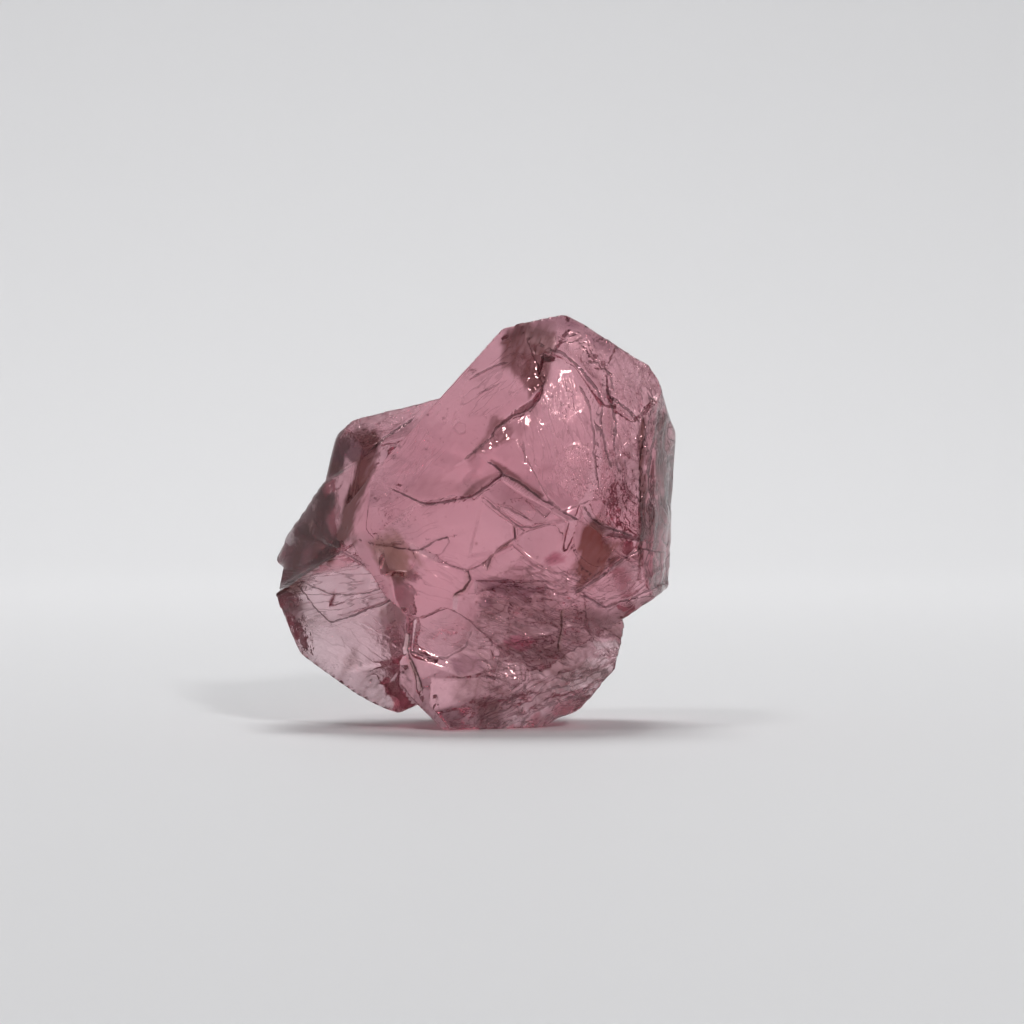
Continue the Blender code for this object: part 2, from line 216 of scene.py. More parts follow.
# Flakes split off the right side and the left side: outlines as (y, z)
RIGHT_FLAKES = {
    "right groove front": (((-6.6, 18.6), (-4.6, 18.9), (-4.3, 12.0), (-4.7, 8.6), (-6.6, 9.4)),
        (10.75, -5.4, 14.0, 58, 357)),
    "right groove middle": (((-3.4, 19.6), (-1.6, 19.8), (-1.2, 12.6), (-1.7, 7.6), (-3.2, 8.0)),
        (11.75, -2.4, 14.0, 80, 357)),
    "right groove back": (((0.6, 19.4), (3.0, 18.8), (3.2, 12.6), (2.6, 8.4), (0.4, 8.2)),
        (11.7, 1.8, 14.0, 98, 355)),
}
LEFT_FLAKES = {
    "left scar": (((-2.2, 7.6), (1.2, 8.2), (2.8, 5.6), (0.8, 3.4), (-1.9, 4.2)),
        (-10.1, 0.4, 6.0, 96, 196)),
}

# The tables below are drawn as the front is seen by the camera, in millimetres at its surface:
# (x, z) pairs, right and up.

# Small ledges: path, drop, how far the drop reaches on its left side, painted shade line darkness
LEDGES = {
    "zigzag": (((3.3, 23.1), (3.6, 22.1), (4.3, 20.8), (4.0, 19.7), (3.3, 19.0), (2.4, 18.6),
        (1.4, 17.9), (1.1, 17.3), (-0.3, 16.2)), 0.16, 0.9, 0.5),
    "arc": (((1.7, 15.2), (0.9, 14.5), (-0.1, 13.9), (-1.4, 13.6), (-2.6, 13.4), (-3.6, 13.8),
        (-4.6, 14.3)), 0.14, 0.5, 0.75),
    "wedge": (((6.1, 12.6), (5.3, 13.0), (4.1, 13.7), (2.8, 14.7), (1.9, 15.2), (1.1, 15.9)),
        0.14, 0.6, 0.8),
    "wedge partner": (((2.8, 16.9), (3.5, 15.5), (4.0, 14.5), (4.5, 13.7), (5.3, 13.0),
        (6.7, 13.6)), 0.08, 0.4, 0.4),
    "stain ledge": (((9.3, 11.6), (7.8, 12.1), (7.0, 12.6), (6.6, 13.2)), 0.16, 0.5, 0.7),
    "chip line": (((4.5, 12.3), (3.5, 12.0), (2.8, 12.1), (1.5, 13.1), (0.7, 13.8)),
        0.08, 0.6, 0.6),
    "chip line inner": (((3.2, 12.6), (2.2, 13.2), (1.7, 13.3)), 0.06, 0.4, 0.45),
    "small v": (((4.6, 13.0), (4.3, 12.7), (3.8, 13.1)), 0.06, 0.3, 0.5),
    "mid ledge": (((-1.5, 11.5), (-2.2, 11.3), (-3.0, 10.8), (-3.6, 10.7), (-4.6, 10.9)),
        0.16, 0.7, 0.6),
    "mid ledge tail": (((-2.3, 10.4), (-1.8, 10.6), (-1.4, 11.2), (-1.5, 11.5)), 0.08, 0.4, 0.3),
    "olive crack side": (((2.5, 11.4), (1.5, 10.7), (0.7, 9.9), (-0.3, 9.5), (-1.4, 9.8),
        (-2.3, 10.4)), 0.16, 0.9, 0.3),
    "low ledge": (((2.4, 4.5), (1.2, 5.2), (0.3, 6.1), (-0.6, 6.9), (-1.5, 7.3), (-2.3, 7.0),
        (-3.0, 6.7), (-3.9, 6.9), (-4.6, 7.5), (-5.4, 8.2), (-6.0, 9.3)), 0.22, 0.9, 0.6),
    "cushion top": (((-5.0, 7.6), (-5.7, 9.0), (-6.7, 10.0), (-7.8, 10.7)), 0.2, 0.8, 0.5),
    "cushion fold high": (((-5.5, 8.4), (-6.2, 8.2), (-7.3, 8.1), (-8.6, 8.2), (-10.0, 8.9)),
        0.1, 0.4, 0.55),
    "cushion fold low": (((-5.1, 7.6), (-7.3, 6.8), (-8.3, 6.5), (-9.3, 7.3), (-10.2, 8.6)),
        0.16, 0.5, 0.7),
    "patch edge": (((-3.6, 4.8), (-2.6, 4.4), (-1.5, 4.4), (-0.4, 5.0), (-0.1, 5.8)),
        0.12, 0.6, 0.45),
    "ridge": (((8.2, 15.8), (7.9, 16.5), (7.7, 17.4), (7.5, 18.4), (7.7, 19.4), (7.2, 20.3),
        (6.4, 21.3), (5.3, 22.3), (4.1, 22.9), (3.0, 23.6)), 0.18, 0.7, 0.6),
    "ridge inner": (((7.4, 14.6), (7.2, 16.2), (7.1, 17.8), (6.9, 19.2), (6.4, 20.2)),
        0.1, 0.4, 0.5),
    "ridge partner": (((8.3, 20.3), (8.2, 21.1), (7.5, 21.5), (6.9, 22.1)), 0.12, 0.5, 0.5),
    "ridge outer": (((8.6, 15.4), (8.3, 17.0), (8.5, 18.2), (8.2, 19.4), (7.9, 20.2)),
        0.12, 0.4, 0.6),
    "hook": (((9.7, 18.4), (9.0, 19.1), (8.2, 19.7)), 0.12, 0.6, 0.7),
    "lens": (((9.0, 15.8), (8.9, 15.0), (9.0, 14.3), (9.7, 13.7), (9.9, 13.4)), 0.12, 0.4, 0.6),
    "right edge line": (((10.6, 18.9), (10.2, 17.4), (9.9, 16.0), (9.9, 14.4), (10.0, 12.7),
        (9.9, 10.0)), 0.2, 0.5, 0.95),
    "right edge partner": (((11.1, 18.9), (10.7, 17.3), (10.5, 16.0), (10.4, 14.7), (10.6, 13.7)),
        0.16, 0.3, 0.7),
    "right edge third": (((11.4, 18.2), (11.2, 16.9), (11.5, 16.0), (11.4, 14.5), (11.5, 13.4)),
        0.14, 0.3, 0.6),
    "streaky top": (((6.2, 8.2), (7.5, 9.1), (8.8, 10.2), (9.9, 10.8), (10.6, 10.7)),
        0.16, 0.7, 0.6),
    "streaky low": (((6.5, 8.1), (7.9, 7.3), (8.8, 7.7), (10.9, 8.6)), 0.14, 0.5, 0.6),
    "top streak": (((3.0, 23.5), (3.7, 23.2), (4.5, 22.5)), 0.14, 0.3, 0.2),
    "shoulder edge": (((-3.6, 18.4), (-5.1, 17.4), (-5.9, 16.6)), 0.1, 0.4, 0.7),
}

# Cracks: path, width, depth, darkness of the dirt in them
CRACKS = {
    "olive crack": (((2.5, 12.1), (2.5, 11.4), (1.5, 10.7), (0.7, 9.9)), 0.11, 0.2, 0.95),
    "olive crack left": (((0.7, 9.9), (-0.3, 9.5), (-1.4, 9.8), (-2.3, 10.4)), 0.08, 0.16, 0.5),
    "olive branch": (((-0.3, 9.4), (-0.2, 8.9), (-0.5, 8.4), (-1.0, 8.1)), 0.08, 0.14, 0.8),
    "olive barb": (((1.1, 10.3), (0.9, 9.7)), 0.08, 0.1, 0.7),
    "lower crack": (((-3.8, 5.7), (-3.9, 4.8), (-3.5, 3.9), (-3.0, 2.6)), 0.1, 0.2, 0.75),
    "lump crack": (((5.3, 7.1), (5.3, 6.1), (5.1, 5.0)), 0.08, 0.14, 0.7),
    "top scratches": (((-0.2, 20.7), (1.0, 21.4), (1.9, 21.7)), 0.06, 0.06, 0.5),
    "top scratch low": (((0.4, 19.9), (1.4, 20.4)), 0.05, 0.05, 0.35),
    "upper hair": (((3.0, 17.0), (3.1, 15.9)), 0.05, 0.05, 0.35),
    "ring": (((-1.1, 17.9), (-0.8, 18.2), (-0.4, 18.1), (-0.4, 17.6), (-0.8, 17.5), (-1.1, 17.9)),
        0.06, 0.04, 0.15),
}

# Outlines that more than one of the tables below uses
PATCHES = {
    "top right": ((4.0, 23.6), (5.2, 22.6), (7.4, 20.6), (8.2, 16.6), (9.6, 16.0), (11.4, 18.5),
        (10.6, 21.4), (7.6, 23.6)),
    "shoulder": ((-8.8, 19.4), (-2.0, 20.2), (-3.8, 17.9), (-6.0, 16.8), (-8.2, 17.2)),
    "under the cushion": ((-9.8, 6.0), (-5.4, 7.2), (-4.2, 4.4), (-7.4, 3.6)),
    "rust stain": ((6.4, 12.3), (5.9, 11.0), (6.1, 9.4), (6.5, 8.9), (7.5, 9.7), (8.3, 10.3),
        (8.8, 11.1), (8.2, 11.8), (7.4, 12.3)),
}

# Shattered patches: outline, facet size across and up, slope, painted shade on the facets' rims
SHATTERED = {
    "dark top": (((1.6, 22.9), (2.8, 23.8), (4.6, 22.9), (4.6, 20.8), (3.9, 19.6), (3.0, 20.6),
        (2.2, 21.8)), 0.55, 0.55, 0.25, 0.5),
    "dark zigzag": (((1.2, 18.4), (2.4, 18.3), (2.6, 17.2), (0.9, 16.5), (-0.3, 16.0)),
        0.5, 0.5, 0.23, 0.4),
    "top right": (PATCHES["top right"], 0.7, 1.3, 0.19, 0.2),
    "right": (((7.8, 17.0), (10.0, 17.0), (10.2, 11.0), (7.4, 11.8)), 0.6, 1.2, 0.09, 0.4),
    "middle low": (((3.0, 10.4), (6.2, 9.4), (6.6, 8.0), (2.4, 7.6), (0.6, 9.0)),
        1.1, 0.45, 0.12, 0.45),
    "low right": (((0.2, 8.6), (6.6, 8.4), (7.6, 5.6), (6.0, 2.2), (1.6, 1.2), (-1.4, 1.8),
        (0.4, 5.0)), 1.0, 0.55, 0.18, 0.4),
    "low lump": (((5.2, 7.0), (9.4, 6.4), (9.2, 3.6), (6.8, 0.9), (4.0, 0.3), (1.0, 0.2),
        (3.4, 2.6), (6.2, 4.0)), 0.9, 0.5, 0.21, 0.4),
    "grey tip": (((-6.6, 3.9), (-3.8, 3.9), (-3.0, 2.0), (-4.6, 0.6), (-6.6, 2.0)),
        0.8, 0.7, 0.08, 0.3),
    "cushion rim": (((-12.2, 9.0), (-10.2, 8.6), (-9.2, 6.8), (-10.4, 4.6), (-12.0, 6.0)),
        0.6, 0.5, 0.15, 0.5),
    "shoulder": (PATCHES["shoulder"], 1.0, 0.6, 0.1, 0.2),
    "glints": (((5.2, 15.0), (6.0, 16.6), (7.9, 17.2), (8.6, 15.4), (7.8, 13.9), (6.2, 14.0)),
        0.5, 0.5, 0.2, 0.03),
    "bright patch": (((4.2, 20.2), (5.9, 21.2), (6.8, 19.4), (5.8, 18.2), (4.5, 18.8)),
        0.5, 0.6, 0.22, 0.05),
}

# Layer lines: outline, the way they run in degrees, spacing, height, painted shade line darkness
LAYERED = {
    "cushion": (((-11.6, 9.2), (-7.4, 11.0), (-5.2, 9.2), (-4.9, 7.4), (-8.3, 6.2), (-10.6, 7.2)),
        8, 0.4, 0.05, 0.5),
    "right flank": (((9.7, 20.5), (13.4, 20.0), (13.4, 6.0), (9.8, 9.0)), 89, 0.34, 0.12, 0.8),
    "streaky corner": (((6.2, 8.4), (8.8, 10.6), (11.8, 11.0), (11.6, 7.4), (7.9, 6.9)),
        30, 0.26, 0.07, 0.5),
    "upper right": (((5.4, 22.8), (7.6, 20.0), (8.4, 16.4), (10.0, 16.0), (11.6, 19.0),
        (10.0, 22.4), (7.2, 23.6)), 118, 0.45, 0.06, 0.28),
    "flow in the hollow": (((2.6, 18.4), (4.4, 20.8), (6.0, 21.4), (7.4, 18.0), (7.0, 14.6),
        (5.0, 13.6), (3.0, 15.4)), 108, 0.5, 0.012, 0.22),
    "top left": (((-1.4, 18.6), (0.6, 21.2), (2.4, 23.6), (3.2, 20.4), (1.2, 18.4)),
        38, 0.4, 0.012, 0.3),
    "left of the step": (((-6.0, 14.4), (-2.4, 13.6), (-1.6, 11.4), (-5.4, 11.0)),
        20, 0.5, 0.012, 0.22),
    "left": (((-6.2, 16.6), (-3.4, 18.4), (-1.2, 16.4), (-3.4, 14.4), (-6.2, 14.2)),
        48, 0.6, 0.01, 0.16),
    "central": (((-3.4, 10.8), (1.4, 10.6), (2.4, 8.4), (-0.6, 7.6), (-4.6, 7.8)),
        158, 0.5, 0.01, 0.18),
    "bottom patch": (((-3.6, 6.2), (-1.4, 7.0), (0.8, 5.2), (-0.6, 3.6), (-3.6, 4.8)),
        160, 0.5, 0.01, 0.2),
    "under the cushion": (PATCHES["under the cushion"], 150, 0.5, 0.012, 0.2),
    "under the stain": (((2.6, 10.4), (5.6, 9.6), (8.2, 8.4), (6.2, 7.4), (3.6, 8.2)),
        152, 0.3, 0.07, 0.6),
    "low": (((0.0, 8.4), (6.0, 9.6), (6.8, 6.0), (5.0, 2.0), (0.4, 1.6)), 158, 0.38, 0.06, 0.5),
    "bottom": (((0.6, 2.6), (8.4, 4.2), (8.4, 1.6), (4.4, -0.4), (0.4, 0.0)), 24, 0.34, 0.09, 0.7),
}

# Tints seen in the crystal, in the order they are laid: outline, colour, strength, width of
# the soft border, how far streaks thin it, and the way those streaks run in degrees
# The brown and violet tints are painted shade and the clear ones lift it again;
# the rust, olive and deep pink tints are stains and spots of the stone's own colour.
TINTS = {
    # Painted shade: the dark left flank and darker bands in it, with two clear streaks left
    # lighter.
    "left flank": (((-4.9, 17.3), (-5.5, 16.4), (-6.2, 15.0), (-6.6, 13.7), (-6.9, 12.2),
        (-7.0, 11.3), (-7.8, 10.5), (-9.2, 9.6), (-10.9, 7.8), (-13.5, 8.0), (-14.0, 10.0),
        (-11.5, 14.5), (-9.5, 16.5), (-8.3, 17.6), (-6.8, 17.9)), "painted_shade", 0.94, 0.5, 0.0, 60),
    "flank violet": (((-8.6, 17.4), (-7.0, 17.4), (-6.4, 16.4), (-7.4, 15.5), (-8.8, 16.0)),
        "violet", 0.8, 0.5, 0.5, 60),
    "flank deep band": (((-6.4, 16.4), (-5.8, 15.9), (-6.6, 13.7), (-7.0, 11.4), (-8.2, 10.6),
        (-7.9, 12.2), (-7.2, 14.0)), "painted_shade", 0.85, 0.5, 0.2, 70),
    "flank streak": (((-7.3, 16.0), (-6.8, 15.8), (-7.1, 14.7), (-7.6, 13.7), (-7.8, 12.4),
        (-8.2, 11.6), (-8.4, 12.4), (-8.0, 13.4), (-8.1, 13.9), (-8.8, 14.0), (-8.6, 14.9),
        (-7.6, 15.3)), "clear", 0.9, 0.25, 0.0, 75),
    "flank streak low": (((-9.7, 11.3), (-9.4, 11.2), (-9.7, 9.4), (-10.0, 9.3)),
        "clear", 0.5, 0.3, 0.2, 80),
    # Painted shade: the dark top and its rim, and dark bands beside the zigzag, arc, wedge and
    # ridge.
    "dark top": (((1.5, 23.0), (3.0, 24.4), (4.9, 23.4), (4.6, 21.8), (4.3, 20.2), (3.4, 19.6),
        (2.9, 20.6), (1.8, 21.6)), "painted_shade", 0.97, 0.5, 0.3, 70),
    "top rim": (((1.6, 23.6), (3.2, 25.4), (6.0, 24.4), (8.4, 22.6), (8.0, 22.2), (5.6, 23.6),
        (3.4, 24.2)), "violet", 0.6, 0.5, 0.5, 150),
    "dark zigzag": (((1.1, 18.6), (1.8, 18.5), (2.3, 17.7), (2.0, 17.2), (0.7, 16.8), (-0.4, 16.1),
        (0.8, 17.4)), "painted_shade", 0.8, 0.3, 0.5, 55),
    "zigzag shade": (((2.2, 18.2), (3.4, 19.4), (4.2, 19.9), (3.6, 18.4), (2.8, 17.0)),
        "painted_shade", 0.4, 0.5, 0.7, 60),
    "arc band": (((-1.0, 13.5), (0.1, 13.9), (0.8, 14.45), (1.7, 15.3), (1.2, 15.15), (0.3, 14.75),
        (-0.5, 14.2)), "painted_shade", 0.8, 0.25, 0.5, 30),
    "arc shade": (((-4.4, 14.6), (-2.9, 15.4), (-0.6, 14.8), (1.5, 15.5), (0.2, 14.1),
        (-1.4, 13.6), (-2.8, 13.4)), "painted_shade", 0.28, 0.8, 0.6, 20),
    "wedge band": (((1.1, 16.0), (1.9, 15.6), (4.1, 13.95), (4.0, 13.7), (1.9, 15.1)),
        "painted_shade", 0.8, 0.15, 0.1, 145),
    "ridge shade": (((4.2, 22.7), (5.6, 21.8), (7.0, 20.0), (7.2, 17.6), (7.9, 15.6), (8.6, 15.8),
        (8.4, 19.4), (7.6, 21.2), (5.6, 22.8)), "painted_shade", 0.24, 0.5, 0.8, 115),
    # Painted shade: the dark line, stripes and band down the right flank.
    "right flank line": (((9.9, 18.6), (10.3, 18.8), (10.2, 16.0), (10.2, 13.0), (10.1, 9.8),
        (9.8, 9.8), (9.8, 13.0), (9.75, 16.0)), "painted_shade", 0.97, 0.2, 0.15, 90),
    "right flank stripes": (((10.2, 19.6), (13.4, 19.6), (13.4, 6.0), (10.2, 9.0)),
        "painted_shade", 0.95, 0.3, 0.9, 90),
    "right flank band": (((11.1, 19.0), (11.5, 18.6), (11.3, 16.0), (11.5, 14.4), (11.2, 14.2),
        (10.9, 16.0)), "painted_shade", 0.8, 0.2, 0.3, 90),
    "right flank foot": (((10.1, 11.2), (10.9, 12.4), (12.0, 10.6), (11.6, 8.8), (10.2, 9.2)),
        "deep pink", 0.4, 0.5, 0.3, 80),
    "under the patch": (((5.6, 11.0), (6.4, 12.6), (9.2, 11.8), (9.9, 10.4), (8.6, 9.6),
        (6.6, 8.6)), "rust", 0.35, 0.8, 0.5, 30),
    "rust stain": (PATCHES["rust stain"], "rust", 1.0, 1.1, 0.12, 60),
    "magenta spot": (((4.1, 10.3), (4.8, 10.7), (5.4, 10.4), (5.4, 10.0), (4.5, 10.0)),
        "deep pink", 0.8, 0.5, 0.4, 20),
    # Painted shade: the dark lower middle and the violet and brown spots in it; the red spot is
    # colour.
    "lower shade": (((-1.4, 4.2), (-0.4, 5.6), (0.3, 7.6), (0.7, 9.0), (2.8, 9.5), (4.5, 8.7),
        (5.1, 7.3), (7.5, 7.1), (6.7, 4.8), (6.4, 2.4), (3.5, 1.6), (1.1, 0.4), (-0.7, 1.8)),
        "painted_shade", 0.64, 0.9, 0.7, 152),
    "violet band": (((0.2, 8.9), (1.9, 9.1), (4.1, 8.4), (3.4, 7.8), (1.1, 8.1)),
        "violet", 0.74, 0.45, 0.5, 165),
    "violet spot": (((0.4, 7.9), (1.1, 7.9), (1.1, 7.4), (0.5, 7.4)),
        "violet", 0.7, 0.3, 0.3, 160),
    "low red": (((1.8, 5.5), (2.6, 5.8), (3.7, 5.4), (3.0, 4.8), (1.9, 4.9)),
        "deep pink", 0.85, 0.4, 0.4, 165),
    "low dark spot": (((-1.4, 4.4), (0.1, 4.5), (0.5, 3.8), (-0.9, 3.5)),
        "violet", 0.8, 0.35, 0.5, 150),
    "low painted shade": (((0.0, 2.0), (1.6, 2.2), (1.8, 0.6), (0.4, 0.0)), "painted_shade", 0.7, 0.5, 0.5, 150),
    # Painted shade: the brown wedge, the low lump's shaded side and rim, and a little over the
    # grey tip.
    "brown wedge": (((5.6, 7.3), (7.6, 7.2), (8.2, 7.4), (11.2, 8.4), (10.4, 6.4), (8.4, 5.2),
        (7.2, 5.9)), "painted_shade", 0.6, 0.5, 0.4, 35),
    "lump shade": (((6.2, 4.0), (7.9, 3.9), (8.2, 3.3), (6.4, 2.9)), "painted_shade", 0.7, 0.3, 0.4, 10),
    "lump rim": (((3.2, 1.0), (5.6, 1.2), (7.6, 3.0), (9.0, 5.2), (9.6, 4.0), (7.4, 0.4),
        (3.4, -0.6)), "painted_shade", 0.5, 0.5, 0.75, 35),
    "grey tip": (((-6.8, 3.7), (-5.2, 3.9), (-3.2, 3.9), (-2.8, 1.6), (-5.0, 0.4), (-6.8, 2.4)),
        "painted_shade", 0.12, 0.4, 0.3, 30),
    "tip spot": (((-8.0, 4.6), (-6.8, 4.9), (-6.2, 3.9), (-7.4, 3.7)), "rust", 0.3, 0.7, 0.4, 60),
    # Painted shade: the cushion's darker lower corner.
    "cushion shade": (((-11.2, 7.9), (-9.6, 7.6), (-8.6, 6.4), (-10.2, 5.8)),
        "painted_shade", 0.35, 0.4, 0.7, 30),
    "olive patch": (((-5.6, 11.2), (-4.6, 11.4), (-3.6, 10.4), (-3.4, 9.4), (-4.4, 9.1),
        (-5.3, 10.1)), "olive", 0.95, 1.1, 0.2, 130),
    "olive low": (((-5.4, 7.7), (-4.1, 7.3), (-4.6, 6.2), (-5.6, 6.8)),
        "olive", 0.45, 0.5, 0.4, 120),
    "shoulder haze": (((-8.8, 19.4), (-5.0, 19.9), (-3.4, 18.9), (-5.2, 17.6), (-8.0, 17.2)),
        "clear", 0.3, 0.5, 0.2, 20),
    # Painted shade: a faint violet darkening over the left breaks.
    "left dusk": (((-6.6, 13.2), (-5.6, 16.6), (-3.4, 18.6), (-1.6, 17.4), (-2.4, 14.6),
        (-4.6, 13.4)), "violet", 0.22, 1.6, 0.3, 50),
}

# Frosted places, where the skin blurs what lies behind it: outline and strength
FROSTED = {
    "top dent": (((2.2, 24.1), (4.8, 24.1), (4.8, 22.3), (2.2, 22.3)), 0.7),
    "shoulder": (((-8.6, 19.4), (-4.4, 19.8), (-4.0, 18.9), (-6.6, 17.8), (-8.2, 17.6)), 0.45),
    "rust stain": (PATCHES["rust stain"], 0.06),
    "olive patch": (((-5.5, 11.1), (-4.6, 11.3), (-3.6, 10.2), (-3.5, 9.5), (-4.4, 9.2),
        (-5.2, 10.2)), 0.12),
    "olive low": (((-5.1, 7.6), (-4.1, 7.3), (-4.6, 6.3), (-5.4, 6.9)), 0.3),
    "bright patch": (((4.4, 19.9), (5.6, 20.2), (6.0, 19.2), (4.8, 18.8)), 0.25),
    "lump glare": (((5.2, 5.2), (6.2, 5.4), (6.0, 4.6), (5.2, 4.6)), 0.3),
    "low glare": (((-0.6, 2.2), (1.6, 2.5), (1.4, 1.8), (-0.4, 1.7)), 0.3),
    "cushion": (((-11.0, 8.2), (-8.0, 10.4), (-5.6, 9.0), (-5.2, 7.6), (-8.3, 6.2), (-10.6, 6.6)),
        0.35),
    "under the cushion": (PATCHES["under the cushion"], 0.2),
    "striated corner": (((6.8, 8.4), (8.8, 10.3), (10.4, 10.6), (10.6, 8.6), (8.0, 7.4)), 0.3),
    "low lump": (((5.4, 6.6), (8.8, 6.2), (8.8, 3.8), (6.8, 1.6), (5.0, 3.4)), 0.3),
}


# Dimpled places, where the skin glints: outline and strength
PITTED = {
    "glints": (((4.9, 15.2), (5.6, 16.6), (7.9, 17.0), (8.6, 15.4), (7.8, 13.9), (6.0, 14.0)),
        2.0),
    "bright patch": (((4.0, 20.2), (5.9, 21.2), (6.8, 19.4), (5.8, 18.2), (4.5, 18.6)), 0.8),
    "upper right": (PATCHES["top right"], 1.2),
    "right": (((7.6, 17.0), (9.9, 17.0), (10.0, 11.0), (7.4, 12.4)), 0.45),
    "lump": (((5.2, 7.0), (9.4, 6.4), (9.2, 3.6), (6.8, 0.9), (4.4, 2.0)), 0.6),
    "low": (((-1.4, 3.4), (4.6, 2.6), (4.6, 0.0), (0.0, 0.0)), 0.6),
    "cushion rim": (((-12.2, 9.0), (-9.6, 8.6), (-8.6, 6.4), (-9.4, 4.2), (-12.0, 6.0)), 0.7),
    "under the cushion": (((-9.4, 6.4), (-5.1, 7.6), (-4.2, 7.0), (-3.8, 4.2), (-5.6, 3.6),
        (-9.0, 3.3)), 0.25),
    "shoulder": (PATCHES["shoulder"], 0.5),
    "left of the step": (((-5.6, 14.6), (-2.2, 13.8), (-1.4, 11.4), (-6.2, 10.4)), 0.3),
    "rough foot": (((0.6, 9.6), (6.2, 9.4), (7.6, 6.0), (5.4, 2.6), (0.6, 3.6)), 0.4),
}


def colour_setting(name, description, default):
    """A colour setting."""
    return FloatVectorProperty(name=name, description=description, default=default,
                               subtype="COLOR", size=3, min=0.0, max=1.0)


def length_setting(name, description, default):
    """A length setting, in metres."""
    return FloatProperty(name=name, description=description, default=default, unit="LENGTH",
                         precision=5)


def power_setting(name, description, default):
    """A lamp's power setting, in watts."""
    return FloatProperty(name=name, description=description, default=default, unit="POWER")


def share_setting(name, description, default):
    """A setting from 0 to 1."""
    return FloatProperty(name=name, description=description, default=default,
                         subtype="FACTOR", min=0.0, max=1.0)


def whole_setting(name, description, default, least):
    """A setting that is a whole number."""
    return IntProperty(name=name, description=description, default=default, min=least)


class CrystalSettings(bpy.types.PropertyGroup):
    """Sizes and finish of the crystal."""

    cells_across: whole_setting(
        "Cells across", "Mesh cells across the front, an even number", 230, 16)
    fine_rows: whole_setting("Fine rows", "Rows of small cells behind the front's rim", 18, 2)
    coarse_rows: whole_setting("Coarse rows", "Rows of wider cells from there to the back", 20, 2)
    edge_sharpness: FloatProperty(
        name="Edge sharpness", description="How crisply two breaks meet", default=200.0, min=20.0)
    riser: length_setting("Riser width", "Width of the slope at a scar's rim", 0.24 * MM)
    back_riser: length_setting(
        "Back riser width", "Width of the softer slopes at the back's scars", 1.7 * MM)
    line_width: length_setting(
        "Line width", "Width of the dark line along a ledge or a crack", 0.11 * MM)
    undulation: length_setting(
        "Undulation", "Height of the faint waves on the flat breaks", 0.018 * MM)
    absorbed_colour: colour_setting(
        "Depth colour", "What light keeps as it crosses the crystal", (0.764, 0.175, 0.310))
    absorption_density: FloatProperty(
        name="Depth density", description="How strongly the crystal absorbs, per metre",
        default=99.0, min=0.0)
    glare_colour: colour_setting(
        "Glare colour", "Colour of reflections seen face on", (1.0, 0.60, 0.63))
    refraction: FloatProperty(
        name="Refractive index", description="Refractive index of tourmaline", default=1.63,
        min=1.0, max=2.5)
    front_roughness: share_setting("Front roughness", "Roughness of the fresh glassy breaks", 0.04)
    back_roughness: share_setting(
        "Back roughness", "Roughness of the dullest breaks at the back", 0.36)
    # Painted shade: the brown colour that the crystal's dark places, facet rims and pits are
    # painted with
    painted_shade: colour_setting("Painted shade", "Brown shade of the darkest places", (0.20, 0.12, 0.10))
    # Painted shade: the violet colour that some of the crystal's dark places are painted with
    violet: colour_setting("Violet", "Violet shade inside the crystal", (0.30, 0.20, 0.26))
    deep_pink: colour_setting("Deep pink", "Spots of stronger pink", (0.52, 0.16, 0.26))
    rust: colour_setting("Rust", "Red-brown stain under the surface", (0.25, 0.11, 0.07))
    olive: colour_setting("Olive", "Dirt in the cracks", (0.34, 0.31, 0.19))


class StudioSettings(bpy.types.PropertyGroup):
    """Sizes and tones of the floor, lights and camera."""

    floor_colour: colour_setting("Floor colour", "Matt pale floor", (0.78, 0.78, 0.79))
    floor_radius: length_setting("Floor radius", "Flat part of the floor", 0.45)
    sweep_radius: length_setting("Sweep radius", "Curve from the floor up to the wall", 0.35)
    wall_height: length_setting("Wall height", "Top of the backdrop", 1.2)
    world_light: FloatProperty(
        name="Room light", description="Even light from the room", default=0.07, min=0.0)
    back_light: power_setting("Backdrop light", "Power of the lamp over the backdrop", 2.25)
    key_light: power_setting("Soft key light", "Power of the soft lamp above the viewer", 1.05)
    glint_light: power_setting(
        "Small lamp", "Power of the small lamp near the viewer, for glints", 0.14)
    lens: FloatProperty(
        name="Lens", description="Focal length in millimetres", default=100.0, min=10.0)
    camera_distance: length_setting(
        "Camera distance", "From the camera to the stone's middle", 172.4 * MM)


def facing(lean, toward):
    """Unit normals of breaks, from how far each leans away from the viewer and which way."""
    tilt = np.radians(lean)
    turn = np.radians(toward)
    return np.stack([np.sin(tilt) * np.cos(turn), -np.cos(tilt), np.sin(tilt) * np.sin(turn)], -1)


def rim_of(number):
    """The numbers along the rim of a square grid, once round from its first corner."""
    return np.concatenate([number[:-1, 0], number[-1, :-1], number[:0:-1, -1], number[0, :0:-1]])


def strip(lower, upper):
    """Four-sided faces between two closed rings with the same number of points."""
    return np.stack([lower, np.roll(lower, -1), np.roll(upper, -1), upper], -1)


def sheet(cells, level):
    """A flat grid at one depth whose cells are smaller in the middle: points and numbers."""
    share = np.linspace(-1.0, 1.0, cells + 1)
    share = share * (0.80 + 0.20 * share ** 2)
    across, up = np.meshgrid(share * HALF_BOX[0], share * HALF_BOX[2], indexing="ij")
    points = np.stack([across, np.full_like(across, level), up], -1).reshape(-1, 3)
    return points, np.arange(len(points)).reshape(cells + 1, cells + 1)


